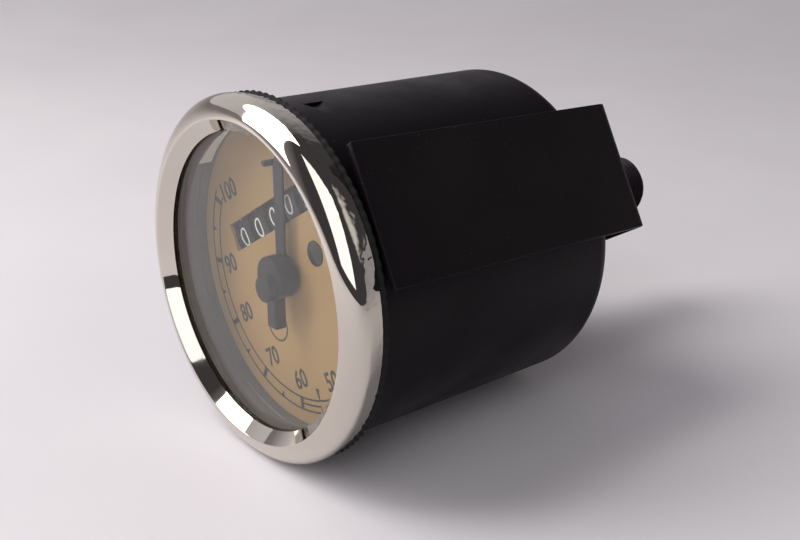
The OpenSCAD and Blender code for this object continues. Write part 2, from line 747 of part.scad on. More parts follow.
module odometer_frame() piece(steel) inside_can() difference() {
  cheek_r = 6.5;
  tab_w = 5;
  ear_r = 2.6;
  wall_z = window_z - cheek_r;
  union() {
    plate_y(web_y, odo_sheet) {
      translate([odo_left - odo_sheet, wall_z])
        square([odo_right - odo_left + 2 * odo_sheet, 2 * cheek_r]);
      for (x = [odo_left - odo_sheet, arm_x + odo_sheet - tab_w])
        translate([x, wall_z]) square([tab_w, pinion_z + arm_r - wall_z]);
    }
    for (x = [odo_left - odo_sheet, odo_right]) plate_x(x, odo_sheet) {
      translate([drum_y, wall_z]) square([web_y + odo_sheet - drum_y, 2 * cheek_r]);
      translate([drum_y, window_z]) circle(cheek_r);
    }
    for (x = [odo_left - odo_sheet, arm_x]) plate_x(x, odo_sheet) pinion_arm();
    plate_x(odo_right, odo_sheet)
      translate([ear_y, lay_z - ear_r]) square([web_y - ear_y, window_z - lay_z]);
    plate_y(ear_y, odo_sheet) {
      translate([lay_x, lay_z - ear_r]) square([odo_right + odo_sheet - lay_x, 2 * ear_r]);
      translate([lay_x, lay_z]) circle(ear_r);
    }
  }
  bar_x(drum_y, window_z, odo_axle_r + seat, odo_left - 2, odo_right + 2);
  bar_x(drum_y, pinion_z, pinion_axle_r + seat, odo_left - 2, odo_right + 2);
  bar_y([lay_x, lay_z], shaft_r + run, ear_y - 1, ear_y + odo_sheet + 1);
  for (p = odo_screw_at) bar_y(p, screw_r + seat, web_y - 1, bridge_y + 1);
}

module odometer_screws() piece(steel) for (p = odo_screw_at) {
  bar_y(p, screw_head_r, bridge_back, bridge_back + 1);
  bar_y(p, screw_r, web_y, bridge_back + 0.5);
}

module odometer_axle() piece(steel) inside_can()
  bar_x(drum_y, window_z, odo_axle_r, odo_left - odo_sheet - 0.5, odo_right + odo_sheet + 0.5);

module pinion_axle() piece(steel) inside_can()
  bar_x(drum_y, pinion_z, pinion_axle_r, odo_left - odo_sheet - 0.5, arm_x + odo_sheet + 0.5);

// A digit drum: its rim, the locking disc with its carry notch on its left, the ring gear on its right
module drum(n) piece(drum_black) difference() {
  x0 = rim_x(n);
  union() {
    bar_x(drum_y, window_z, drum_r, x0, x0 + rim_w);
    if (n < drum_count) translate([0, drum_y, window_z]) plate_x(x0 - lock_w, lock_w + 1) difference() {
      circle(lock_r);
      rotate(90 + 360 / digits) translate([lock_r - 1.4, -1.2]) square([2, 2.4]);
    }
    if (n > 1) translate([0, drum_y, window_z]) plate_x(x0 + rim_w - 1, spur_w + 1)
      gear_outline(spur_teeth, pinion_m, spur_tooth, 90 + 180 / spur_teeth);
    if (n == 1) bar_x(drum_y, window_z, 2 * odo_axle_r, x0, lay_x - gear_w / 2);
  }
  bar_x(drum_y, window_z, odo_axle_r + run, x0 - 2, odo_right);
}

module drum_gear() piece(brass) translate([0, drum_y, window_z]) plate_x(lay_x - gear_w / 2, gear_w)
  wheel_outline(drum_teeth, drum_m, odo_axle_r + run, 270);

// A transfer pinion between one drum and the next
module pinion(n) piece(brass) translate([0, drum_y, pinion_z])
  plate_x(rim_x(n) + rim_w - drum_pitch + pinion_play, drum_pitch - rim_w - 2 * pinion_play)
  difference() {
    gear_outline(pinion_teeth, pinion_m, spur_tooth, 270);
    circle(pinion_axle_r + run);
  }

bezel();
glass();
glass_seal();
shadow_ring();
panel_gasket();
case();
dial();
stop_pin();
tell_tale_lens();
bracket();
bracket_studs();
bracket_washers();
bracket_nuts();
drive_neck();
neck_bush();
base();
base_screws();
rear_pillars();
dial_pillars();
bridge();
arbor_bush();
hairspring();
hairspring_stud();
odometer_frame();
odometer_screws();
odometer_axle();
pinion_axle();
needle();
needle_cap();
arbor();
speed_cup();
hairspring_collet();
spindle();
spindle_worm();
magnet();
field_cup();
thrust_washer();
spindle_clip();
cross_shaft();
cross_wheel();
cross_worm();
lay_shaft();
lay_wheel();
lay_worm();
drum(1);  // drum_1
drum(2);  // drum_2
drum(3);  // drum_3
drum(4);  // drum_4
drum(5);  // drum_5
drum_gear();
pinion(1);  // pinion_1
pinion(2);  // pinion_2
pinion(3);  // pinion_3
pinion(4);  // pinion_4
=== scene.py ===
# %% [markdown]
# # Dressing a vintage speedometer
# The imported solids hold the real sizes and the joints. This lesson gives them their looks: each piece that
# shows is worked out as a surface with numpy, set where the frame says, and finished with procedural nodes.
# All sizes are millimetres in the instrument's own frame: x is the dial's right, z its top, y its depth.

# %% Load the frame
import json
import math

import bmesh
import bpy
import numpy as np
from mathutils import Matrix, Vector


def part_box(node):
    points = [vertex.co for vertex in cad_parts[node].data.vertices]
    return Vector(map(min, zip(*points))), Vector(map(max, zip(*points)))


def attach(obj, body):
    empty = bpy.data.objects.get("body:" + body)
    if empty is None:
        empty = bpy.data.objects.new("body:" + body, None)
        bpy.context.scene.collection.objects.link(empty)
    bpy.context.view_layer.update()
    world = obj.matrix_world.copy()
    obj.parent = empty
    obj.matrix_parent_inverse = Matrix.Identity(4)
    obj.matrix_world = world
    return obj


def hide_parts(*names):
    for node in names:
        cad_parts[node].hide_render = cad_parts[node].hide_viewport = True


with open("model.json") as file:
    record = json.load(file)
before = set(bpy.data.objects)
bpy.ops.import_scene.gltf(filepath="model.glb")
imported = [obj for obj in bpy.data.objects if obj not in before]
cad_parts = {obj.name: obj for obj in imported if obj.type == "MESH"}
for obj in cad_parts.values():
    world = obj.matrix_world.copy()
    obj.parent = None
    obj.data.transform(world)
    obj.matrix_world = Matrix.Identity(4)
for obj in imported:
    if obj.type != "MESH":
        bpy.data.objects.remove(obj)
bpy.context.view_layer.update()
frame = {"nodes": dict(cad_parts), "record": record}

scene = bpy.context.scene

# %% [markdown]
# ## From instrument to bench
# The instrument lies rolled on its side, so its frame is turned about its own axis. One function turns a
# whole array of points at once, and another reads a turned solid's radius and depths back from the frame,
# so that every new surface starts from the size the solids already have.

# %% Units, roll and sizes from the frame
MM = 0.001
BENCH_ROLL = math.radians(30)
FLANGE_W = 0.7


def to_bench(points):
    """Instrument millimetres to bench metres: x and z turn by the roll about y, then all is scaled."""
    x, y, z = np.moveaxis(np.asarray(points, float), -1, 0)
    cos, sin = math.cos(BENCH_ROLL), math.sin(BENCH_ROLL)
    return np.stack([x * cos - z * sin, y, x * sin + z * cos], -1) * MM


def turned_size(node):
    """Radius, front and back depth of a solid turned about the axis: half its width, and its reach in y."""
    low, high = (np.array(corner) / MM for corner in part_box(node))
    return (high[0] - low[0]) / 2, low[1], high[1]


can_flange_r, can_front, case_back = turned_size("case")
case_r = can_flange_r - FLANGE_W
bezel_r, bezel_front, bezel_back = turned_size("bezel")
print(f"bezel radius {bezel_r:.1f}, can depth {case_back:.1f}")

# %% [markdown]
# ## Surfaces from grids
# Most pieces of an instrument are turned, bent or stamped, so each is a profile carried round an axis or
# along a path: a grid of points. Blender could spin or extrude by operator, but a grid computed as an array
# is exact, quick, and easy to check. One helper makes the quads, closes seams and poles, and turns the
# faces outwards.

# %% Grid to mesh
SAME_POINT = 1e-6


def outward(points, faces):
    """Faces that point out: a closed shape's volume, summed over its faces' fans, comes out positive."""
    fans = np.array([(f[0], a, b) for f in faces for a, b in zip(f[1:], f[2:])])
    first, second, third = (points[fans[:, k]] for k in range(3))
    volume = np.einsum("ij,ij->", first, np.cross(second, third))
    return points, faces if volume > 0 else [f[::-1] for f in faces]


def skin(grid, wrap_rows=False, wrap_columns=True, capped=False):
    """Points and faces of a grid (rows, columns, 3): a quad between each four neighbours. Wrapped sides
    join end to end, a row that is one point becomes a pole, and caps close the first and last rows."""
    rows, columns = grid.shape[:2]
    index = np.arange(rows * columns).reshape(rows, columns)
    poles = np.ptp(grid, axis=1).max(axis=1) < SAME_POINT
    index[poles] = index[poles, :1]
    used, index = np.unique(index, return_inverse=True)
    index = index.reshape(rows, columns)
    caps = [index[0, ::-1].tolist(), index[-1].tolist()] if capped else []
    if wrap_rows:
        index = np.vstack([index, index[:1]])
    if wrap_columns:
        index = np.hstack([index, index[:, :1]])
    quads = np.stack([index[:-1, :-1], index[:-1, 1:], index[1:, 1:], index[1:, :-1]], -1).reshape(-1, 4)
    first_pole, last_pole = quads[:, 0] == quads[:, 1], quads[:, 2] == quads[:, 3]
    faces = quads[~first_pole & ~last_pole].tolist()
    faces += quads[first_pole][:, 1:].tolist() + quads[last_pole][:, :3].tolist()
    return outward(grid.reshape(-1, 3)[used], faces + caps)


def joined(parts):
    """Several shapes as one: points end to end, and face numbers moved up by the points before."""
    starts = np.cumsum([0] + [len(points) for points, _ in parts])
    faces = [[i + start for i in face] for (_, fs), start in zip(parts, starts) for face in fs]
    return np.concatenate([points for points, _ in parts]), faces


def add_piece(name, parts, body, finish, stands_for=(), crease=38):
    """A finished piece at the origin: its shapes joined, smooth but for edges sharper than the crease."""
    points, faces = joined(parts)
    mesh = bpy.data.meshes.new(name)
    mesh.from_pydata(to_bench(points).tolist(), [], faces)
    mesh.shade_smooth()
    mesh.set_sharp_from_angle(angle=math.radians(crease))
    mesh.materials.append(finish)
    piece = bpy.data.objects.new(name, mesh)
    scene.collection.objects.link(piece)
    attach(piece, body)
    if stands_for:
        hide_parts(*stands_for)
    print(f"{name}: {len(points)} points, {len(faces)} faces, on {body}")
    return piece


# %% [markdown]
# ## Profiles
# A lathe, a press brake or a mould never leaves a dead sharp corner, and the small round at an edge is what
# catches the light. So an outline is written as its corners with a fillet each, and a function swaps every
# corner for its arc. A second function carries such a profile round the axis, as a lathe does.

# %% Rounded outlines and turning
def rounded(corners, closed=True, steps=6):
    """Outline through corners (a, b, fillet): each corner becomes the arc that touches both of its sides.
    The arc's centre lies on the corner's bisector at fillet / sin(half angle)."""
    corners = np.asarray(corners, float)
    point, fillet = corners[:, :2], corners[:, 2:]
    before, after = np.roll(point, 1, 0) - point, np.roll(point, -1, 0) - point
    before /= np.linalg.norm(before, axis=1, keepdims=True)
    after /= np.linalg.norm(after, axis=1, keepdims=True)
    if not closed:
        before[0], after[-1] = -after[0], -before[-1]
    bisector = before + after
    length = np.linalg.norm(bisector, axis=1, keepdims=True)
    bisector = np.divide(bisector, length, out=np.zeros_like(bisector), where=length > SAME_POINT)
    half = np.arccos(np.clip(np.sum(before * bisector, 1, keepdims=True), -1, 1))
    centre = point + bisector * fillet / np.sin(half)
    reach = fillet / np.tan(half)
    start, end = point + before * reach - centre, point + after * reach - centre
    sweep = np.arctan2(start[:, 0] * end[:, 1] - start[:, 1] * end[:, 0], np.sum(start * end, 1))
    turn = sweep[:, None] * np.linspace(0, 1, steps)
    cos, sin = np.cos(turn), np.sin(turn)
    arc_a = centre[:, :1] + start[:, :1] * cos - start[:, 1:] * sin
    arc_b = centre[:, 1:] + start[:, :1] * sin + start[:, 1:] * cos
    outline = np.stack([arc_a, arc_b], -1).reshape(-1, 2)
    fresh = np.linalg.norm(outline - np.roll(outline, 1, 0), axis=1) > SAME_POINT
    fresh[0] = fresh[0] or not closed
    return outline[fresh]


def turned(profile, steps=192, closed=False, at=(0, 0)):
    """A profile of (radius, depth) carried round an axis along y: x = r cos a, z = r sin a, y = depth."""
    angle = np.linspace(0, 2 * np.pi, steps, endpoint=False)
    radius, depth = profile[:, :1], profile[:, 1:]
    grid = [at[0] + radius * np.cos(angle), depth + 0 * angle, at[1] + radius * np.sin(angle)]
    return skin(np.stack(grid, -1), wrap_rows=closed)


eased_square = rounded([(-1, -1, 0.2), (1, -1, 0.2), (1, 1, 0.2), (-1, 1, 0.2)])
print("a square with eased corners is", len(eased_square), "points")

# %% [markdown]
# ## Materials from nodes
# Every finish is one node tree on Object coordinates, so a pattern has a real size and stays put when the
# piece moves. One small function adds a node with its settings and links. Colours are written as sRGB hex,
# as a paint chart gives them, and turned to the linear values that a shader works in.

# %% Node and colour helpers
def add(tree, kind, inputs=None, **settings):
    """Adds a node, applies its settings, and sets or links each input."""
    node = tree.nodes.new(kind)
    for name, value in settings.items():
        setattr(node, name, value)
    for name, value in (inputs or {}).items():
        if isinstance(value, bpy.types.NodeSocket):
            tree.links.new(value, node.inputs[name])
        else:
            node.inputs[name].default_value = value
    return node


def colour(code):
    """Linear RGBA of an sRGB hex colour."""
    srgb = np.array([int(code[k:k + 2], 16) for k in (1, 3, 5)]) / 255
    linear = np.where(srgb <= 0.04045, srgb / 12.92, ((srgb + 0.055) / 1.055) ** 2.4)
    return (*linear.tolist(), 1.0)


def per(size):
    """Texture scale that makes one cell of a pattern this many millimetres across, on metres."""
    return 1 / (size * MM)


def new_finish(name):
    """An empty node material, its tree, and the Object coordinates that its patterns read."""
    finish = bpy.data.materials.new(name)
    finish.use_nodes = True
    finish.node_tree.nodes.clear()
    place = add(finish.node_tree, "ShaderNodeTexCoord")
    return finish, finish.node_tree, place.outputs["Object"]


print(f"mid grey #808080 is {colour('#808080')[0]:.3f} in linear light")

# %% [markdown]
# ## Camera, floor and light
# The camera stands where the photograph was taken from: low, in front and to the dial's right. The floor is
# one sheet of pale paper that tilts a little, because the bezel is wider than the can and the instrument
# rests on both, and behind and on the left it sweeps up into a backdrop. Two tall windows, on the left and
# in front, and a round skylight on the left are the only strong lights. The room is dim elsewhere, and the
# gap between them gives the chrome its dark bands.

# %% Camera
CAMERA_AT = np.array([190.92, -120.9, 82.89])
CAMERA_RIGHT = np.array([0.6546, 0.7560, 0.0065])
CAMERA_UP = np.array([-0.2673, 0.2234, 0.9374])

camera_data = bpy.data.cameras.new("camera")
camera_data.lens = 50.09
camera_data.sensor_width = 36
camera_data.shift_x, camera_data.shift_y = -0.0405, 0.0115
camera_data.clip_start = 0.01
camera = bpy.data.objects.new("camera", camera_data)
camera_axes = np.eye(4)
camera_axes[:3, 0] = CAMERA_RIGHT / np.linalg.norm(CAMERA_RIGHT)
camera_axes[:3, 2] = np.cross(camera_axes[:3, 0], CAMERA_UP / np.linalg.norm(CAMERA_UP))
camera_axes[:3, 1] = np.cross(camera_axes[:3, 2], camera_axes[:3, 0])
camera_axes[:3, 3] = CAMERA_AT * MM
camera.matrix_world = camera_axes.T.tolist()
scene.collection.objects.link(camera)
scene.camera = camera
scene.view_settings.view_transform = "Standard"
print("camera at", CAMERA_AT, "mm")

# %% Floor
FLOOR_REACH, FLOOR_GAP = 1100, 0.1
SWEEP_FROM, SWEEP_RATE = 350, 8.5e-7
SWEEP_MIDDLE = math.radians(139)
SWEEP_WHOLE, SWEEP_END = math.cos(math.radians(75)), math.cos(math.radians(120))
REST_Y, REST_REAR_Y = -4.5, case_back - 4.5
floor_slope = (bezel_r - case_r) / (REST_REAR_Y - REST_Y)


def floor_sheet():
    """A disc of rings about the instrument whose height rises with y by the slope of the two resting
    points. Past a circle it sweeps up with the cube of the way. The sweep is whole behind the instrument
    and on its left, and fades with the cosine of the angle from the middle of the two."""
    ring = FLOOR_REACH * np.linspace(0, 1, 40)[:, None] ** 2
    angle = np.linspace(0, 2 * np.pi, 96, endpoint=False)
    x, y = ring * np.cos(angle), ring * np.sin(angle)
    whole = np.clip((np.cos(angle - SWEEP_MIDDLE) - SWEEP_END) / (SWEEP_WHOLE - SWEEP_END), 0, 1)
    sweep = SWEEP_RATE * whole * np.clip(ring - SWEEP_FROM, 0, None) ** 3
    z = -bezel_r - FLOOR_GAP + floor_slope * (y - REST_Y) + sweep
    return np.stack([x, y, z], -1)


def paper_floor():
    """Matt pale paper: cool white with a faint mottle of its pulp, a few centimetres across."""
    finish, tree, at = new_finish("pale_paper")
    mottle = add(tree, "ShaderNodeTexNoise", {"Vector": at, "Scale": per(60), "Detail": 5.0})
    shade = add(tree, "ShaderNodeMix", {
        "Factor": mottle.outputs["Fac"], "A": colour("#D9D4D8"), "B": colour("#E2DEE1")}, data_type="RGBA")
    inputs = {"Base Color": shade.outputs["Result"], "Roughness": 0.8, "Specular IOR Level": 0.2}
    surface = add(tree, "ShaderNodeBsdfPrincipled", inputs)
    add(tree, "ShaderNodeOutputMaterial", {"Surface": surface.outputs["BSDF"]})
    return finish


points, faces = skin(floor_sheet())
floor_mesh = bpy.data.meshes.new("floor")
floor_mesh.from_pydata((points * MM).tolist(), [], faces)
floor_mesh.shade_smooth()
floor_mesh.materials.append(paper_floor())
floor = bpy.data.objects.new("floor", floor_mesh)
scene.collection.objects.link(floor)
print(f"floor tilts {math.degrees(math.atan(floor_slope)):.1f} degrees")

# %% Lamps and room
WALL_WAY, PATCH_WAY = (-0.966, 0, 0.259), (0.627, 0.526, 0.574)


def add_lamp(name, azimuth, height, away, size, power, tint, shape="RECTANGLE"):
    """A flat lamp in the direction of an azimuth and a height in degrees, facing back to the dial."""
    azimuth, height = math.radians(azimuth), math.radians(height)
    flat = math.cos(height)
    back = np.array([flat * math.cos(azimuth), flat * math.sin(azimuth), math.sin(height)])
    side = np.array([-math.sin(azimuth), math.cos(azimuth), 0])
    data = bpy.data.lights.new(name, "AREA")
    data.shape, data.size, data.size_y = shape, size[0] * MM, size[1] * MM
    data.energy, data.color = power, colour(tint)[:3]
    lamp = bpy.data.objects.new(name, data)
    axes = np.eye(4)
    axes[:3, 0], axes[:3, 1], axes[:3, 2], axes[:3, 3] = side, np.cross(back, side), back, back * away * MM
    lamp.matrix_world = axes.T.tolist()
    scene.collection.objects.link(lamp)


def dim_room():
    """The world by direction: dark, but for a pale wall on the left and a pale patch behind on the right."""
    world = bpy.data.worlds.new("room")
    scene.world = world
    world.use_nodes = True
    tree = world.node_tree
    tree.nodes.clear()
    way = add(tree, "ShaderNodeTexCoord").outputs["Generated"]
    to_left = add(tree, "ShaderNodeVectorMath", {0: way, 1: WALL_WAY}, operation="DOT_PRODUCT")
    left = add(tree, "ShaderNodeMapRange", {
        "Value": to_left.outputs["Value"], "From Min": 0.4, "From Max": 0.92})
    wall = add(tree, "ShaderNodeMix", {
        "Factor": left.outputs["Result"], "A": colour("#474448"), "B": colour("#D8D5D9")}, data_type="RGBA")
    to_right = add(tree, "ShaderNodeVectorMath", {0: way, 1: PATCH_WAY}, operation="DOT_PRODUCT")
    right = add(tree, "ShaderNodeMapRange", {
        "Value": to_right.outputs["Value"], "From Min": 0.92, "From Max": 0.985})
    room = add(tree, "ShaderNodeMix", {
        "Factor": right.outputs["Result"], "A": wall.outputs["Result"], "B": colour("#E9E5E0")},
        data_type="RGBA")
    light = add(tree, "ShaderNodeBackground", {"Color": room.outputs["Result"], "Strength": 1.0})
    add(tree, "ShaderNodeOutputWorld", {"Surface": light.outputs["Background"]})


add_lamp("left_window", azimuth=-132, height=42, away=800, size=(335, 1000), power=5.0, tint="#FFFDFB")
add_lamp("left_skylight", azimuth=-142, height=49, away=800, size=(440, 620), power=1.8, tint="#FFFDFB",
         shape="ELLIPSE")
add_lamp("front_window", azimuth=-61, height=31, away=1000, size=(860, 1100), power=5.2, tint="#F9FAFF")
dim_room()
print("two windows, a skylight and a dim room")

# %% [markdown]
# ## Chrome bezel
# The bezel is a ring of thin brass sheet, spun to a rounded crest, plated, and crimped over the can's
# flange. A torus would give the outer roll, but not the straight cone that falls from the crest to the
# glass, nor the skirt and crimp behind. Here the sheet's whole section is written as one outline and
# carried round the axis.

# %% Chrome finish
DENTS_FROM, DENTS_TO = -6.5, -4.0


def chrome_plate():
    """Bright nickel-chrome on polished brass: a warm grey mirror with faint smears. Slow waves of the spun
    sheet bend what it reflects, and towards the skirt the marks of the crimping tool break it up."""
    finish, tree, at = new_finish("chrome_plate")
    smear = add(tree, "ShaderNodeTexNoise", {"Vector": at, "Scale": per(7), "Detail": 5.0})
    roughness = add(tree, "ShaderNodeMapRange", {
        "Value": smear.outputs["Fac"], "From Min": 0.4, "From Max": 0.75, "To Min": 0.025, "To Max": 0.08})
    wave = add(tree, "ShaderNodeTexNoise", {"Vector": at, "Scale": per(11), "Detail": 1.0})
    slow = add(tree, "ShaderNodeBump", {
        "Height": wave.outputs["Fac"], "Strength": 0.12, "Distance": 0.0006})
    axes = add(tree, "ShaderNodeSeparateXYZ", {"Vector": at})
    skirt = add(tree, "ShaderNodeMapRange", {
        "Value": axes.outputs["Y"], "From Min": DENTS_FROM * MM, "From Max": DENTS_TO * MM, "To Min": 0.0,
        "To Max": 0.5})
    dent = add(tree, "ShaderNodeTexNoise", {"Vector": at, "Scale": per(2.2), "Detail": 1.0})
    bump = add(tree, "ShaderNodeBump", {
        "Height": dent.outputs["Fac"], "Strength": skirt.outputs["Result"], "Distance": 0.0003,
        "Normal": slow.outputs["Normal"]})
    inputs = {
        "Base Color": colour("#CFC9BE"), "Metallic": 1.0, "Roughness": roughness.outputs["Result"],
        "Normal": bump.outputs["Normal"]}
    surface = add(tree, "ShaderNodeBsdfPrincipled", inputs)
    add(tree, "ShaderNodeOutputMaterial", {"Surface": surface.outputs["BSDF"]})
    return finish


chrome = chrome_plate()
print(chrome.name, "has", len(chrome.node_tree.nodes), "nodes")

# %% Bezel
ROLL_R, SHEET = 4.1, 0.6
LIP_R, LIP_Y = 32.4, -5.9
CONE, CREST_TILT, CREST_FILLET = math.radians(45), math.tan(math.radians(12)), 0.5
CREST_RUN = 4.0
CRIMP_R, SKIRT_DRAW = 37.42, 0.5
SKIRT_TAPER, SKIRT_STEP = 0.15, 1.0


def bezel_section():
    """The sheet's outline: a cone from lip to crest, an arc of an ellipse from crest to skirt, the skirt's
    taper and crimp, and the same way back inside, one sheet's thickness along the normals. The arc leaves
    the crest at the crest's tilt and ends upright: with its reach and drop, cos(start) = tilt * reach /
    (drop - tilt * reach)."""
    crest_r, centre_y = LIP_R + (LIP_Y - bezel_front) / math.tan(CONE), bezel_front + ROLL_R
    front = rounded([(LIP_R, LIP_Y, 0), (crest_r, bezel_front, CREST_FILLET),
                     (crest_r + CREST_RUN, bezel_front + CREST_RUN * CREST_TILT, 0)],
                    closed=False, steps=20)[:-1]
    up_cone = front[:1] + (front[1] - front[0]) * np.linspace(0, 0.95, 12)[:, None]
    front = np.concatenate([up_cone, front[1:]])
    reach, drop = bezel_r - front[-1, 0], centre_y - front[-1, 1]
    start = math.acos(CREST_TILT * reach / (drop - CREST_TILT * reach))
    turn = np.linspace(start, 0, 48)[1:]
    wide, deep = reach / (1 - math.cos(start)), drop / math.sin(start)
    roll = np.stack([bezel_r - wide * (1 - np.cos(turn)), centre_y - deep * np.sin(turn)], 1)
    outer = np.concatenate([front, roll])
    along = np.gradient(outer, axis=0)
    along /= np.linalg.norm(along, axis=1, keepdims=True)
    inner = outer + SHEET * np.stack([-along[:, 1], along[:, 0]], 1)
    skirt_r, skirt_y = bezel_r - SKIRT_DRAW, centre_y + SKIRT_STEP
    crimp = rounded([
        (bezel_r - SKIRT_TAPER, skirt_y, 0), (skirt_r, bezel_back, 0.25), (CRIMP_R, bezel_back, 0.1),
        (CRIMP_R, bezel_back - SHEET, 0.1), (skirt_r - SHEET, bezel_back - SHEET, 0.15),
        (bezel_r - SHEET - SKIRT_TAPER, skirt_y, 0)], closed=False)
    return np.concatenate([outer, crimp, inner[::-1]])


bezel_ring = turned(bezel_section(), steps=288, closed=True)
add_piece("bezel_chrome", [bezel_ring], "housing", chrome, ["bezel"])

# %% [markdown]
# ## Glass
# The glass is a flat disc behind the bezel's lip. Its look is all reflection: at this slant both faces
# mirror the pale floor, and that veil is what turns the black needle grey. So the shader is the plain
# thin-glass mix, clear where light goes straight through and a mirror by Fresnel's law, with a trace of
# dust.

# %% Glass
def instrument_glass():
    """Flat window glass: clear, with a mirror whose strength follows Schlick's rule, four hundredths face
    on and rising with the fifth power of the slant, the same on both faces; and a thin film of dust."""
    finish, tree, at = new_finish("flat_window_glass")
    clear = add(tree, "ShaderNodeBsdfTransparent", {"Color": colour("#FAFCFA")})
    mirror = add(tree, "ShaderNodeBsdfAnisotropic", {"Color": colour("#FFFFFF"), "Roughness": 0.02})
    slant = add(tree, "ShaderNodeLayerWeight", {"Blend": 0.5})
    fifth = add(tree, "ShaderNodeMath", {0: slant.outputs["Facing"], 1: 5.0}, operation="POWER")
    share = add(tree, "ShaderNodeMapRange", {
        "Value": fifth.outputs["Value"], "From Min": 0.0, "From Max": 1.0, "To Min": 0.04, "To Max": 1.0})
    glass = add(tree, "ShaderNodeMixShader", {
        "Fac": share.outputs["Result"], 1: clear.outputs["BSDF"], 2: mirror.outputs["BSDF"]})
    speck = add(tree, "ShaderNodeTexNoise", {"Vector": at, "Scale": per(5), "Detail": 8.0})
    film = add(tree, "ShaderNodeMapRange", {
        "Value": speck.outputs["Fac"], "From Min": 0.35, "From Max": 0.8, "To Min": 0.0, "To Max": 0.012})
    dust = add(tree, "ShaderNodeBsdfDiffuse", {"Color": colour("#D8D4D0")})
    dusty = add(tree, "ShaderNodeMixShader", {
        "Fac": film.outputs["Result"], 1: glass.outputs["Shader"], 2: dust.outputs["BSDF"]})
    add(tree, "ShaderNodeOutputMaterial", {"Surface": dusty.outputs["Shader"]})
    return finish


glass_r, glass_front, glass_back = turned_size("glass")
glass_section = rounded([(0, glass_front, 0), (glass_r, glass_front, 0.3), (glass_r, glass_back, 0.15),
                         (0, glass_back, 0)], closed=False)
add_piece("glass_disc", [turned(glass_section)], "housing", instrument_glass(), ["glass"])

# %% [markdown]
# ## Ring wall and rubber
# Between glass and dial stands a drawn ring with a flange under the glass and a rolled foot on the dial.
# High on it, a small patch of white paint is a painted highlight: it stands for a bright patch of light on
# the wall. Behind the bezel, a moulded rubber gasket with a milled edge seals the panel. The ring is a
# section carried round, and the painted highlight a patch of the same wall. The gasket's radius also depends
# on the
# angle, so its edge is a wave: one grid of angle by section gives it. Plain paints and plastics are two
# close tones mixed by one noise, so from here on one function makes such a finish whole.

# %% Finishes of two tones
def two_tone(name, dark, light, shader, cell, detail, rough=None, relief=None):
    """A finish of two tones mixed by one noise, whose cells are so many millimetres across. The same noise
    may run the roughness between two values and raise a relief of a strength and a height in millimetres.
    The shader's other values are the same all over."""
    finish, tree, at = new_finish(name)
    mottle = add(tree, "ShaderNodeTexNoise", {"Vector": at, "Scale": per(cell), "Detail": detail})
    noise = mottle.outputs["Fac"]
    shade = add(tree, "ShaderNodeMix", {
        "Factor": noise, "A": colour(dark), "B": colour(light)}, data_type="RGBA")
    inputs = {"Base Color": shade.outputs["Result"], **shader}
    if rough:
        low, high = rough
        inputs["Roughness"] = add(tree, "ShaderNodeMapRange", {
            "Value": noise, "From Min": 0.3, "From Max": 0.7,
            "To Min": low, "To Max": high}).outputs["Result"]
    if relief:
        strength, height = relief
        inputs["Normal"] = add(tree, "ShaderNodeBump", {
            "Height": noise, "Strength": strength, "Distance": height * MM}).outputs["Normal"]
    surface = add(tree, "ShaderNodeBsdfPrincipled", inputs)
    add(tree, "ShaderNodeOutputMaterial", {"Surface": surface.outputs["BSDF"]})
    print(f"{name}: {len(tree.nodes)} nodes")
    return finish


# Matt grey paint, sprayed: a soft sheen with a fine tooth.
grey_paint = two_tone("matt_grey_paint", "#383535", "#434040", {"Roughness": 0.32}, cell=0.4, detail=2.0,
                      relief=(0.1, 0.05))
# White paint for a painted highlight on the ring wall: a clean white, a little uneven.
painted_highlight_white = two_tone("white_painted_highlight", "#F6F5F3", "#ECEAE6", {"Roughness": 0.4}, cell=3, detail=3.0)

# %% Ring wall
RING_R, RING_SHEET = 34.6, 0.6
GROOVE_FROM, GROOVE_TO, GROOVE_DEPTH, GROOVE_EASE = 1.2, 1.8, 0.15, 0.1
flange_r, ring_front, ring_back = turned_size("shadow_ring")
groove_r, ring_outside = RING_R + GROOVE_DEPTH, RING_R + RING_SHEET
ring_section = rounded([
    (flange_r, ring_front, 0.1), (RING_R, ring_front, 0.5), (RING_R, GROOVE_FROM, 0.1),
    (groove_r, GROOVE_FROM + GROOVE_EASE, 0.1), (groove_r, GROOVE_TO - GROOVE_EASE, 0.1),
    (RING_R, GROOVE_TO, 0.1), (RING_R, ring_back, 0.25), (ring_outside, ring_back, 0.1),
    (ring_outside, ring_front + RING_SHEET, 0.3), (flange_r, ring_front + RING_SHEET, 0.1)])
ring = turned(ring_section, closed=True)
add_piece("ring_wall", [ring], "housing", grey_paint, ["shadow_ring"])

# %% Painted highlight on the ring wall
PANE_FROM, PANE_TO = math.radians(96), math.radians(116)
PANE_FRONT, PANE_FRONT_RISE = 2.2, 2.3
PANE_BACK, PANE_BACK_RISE = 3.5, 0.4
PANE_T, PANE_SUNK = 0.08, 0.3


def light_pane():
    """A patch of white paint on the wall, a painted highlight, by angle: its back edge comes forward a
    little with the angle and its front edge more, and four corner lines carry it along with a coat's
    thickness."""
    share = np.linspace(0, 1, 32)
    angle = PANE_FROM + (PANE_TO - PANE_FROM) * share
    front, back = PANE_FRONT - PANE_FRONT_RISE * share, PANE_BACK - PANE_BACK_RISE * share
    near, sunk = RING_R - PANE_T, RING_R + PANE_SUNK
    corners = [(near, front), (near, back), (sunk, back), (sunk, front)]
    grid = [np.stack([r * np.cos(angle), y, r * np.sin(angle)], -1) for r, y in corners]
    return skin(np.stack(grid, 1), capped=True)


# The white patch is painted light: a painted highlight on the ring wall, not a lamp and not a lit pane.
add_piece("light_pane", [light_pane()], "housing", painted_highlight_white)

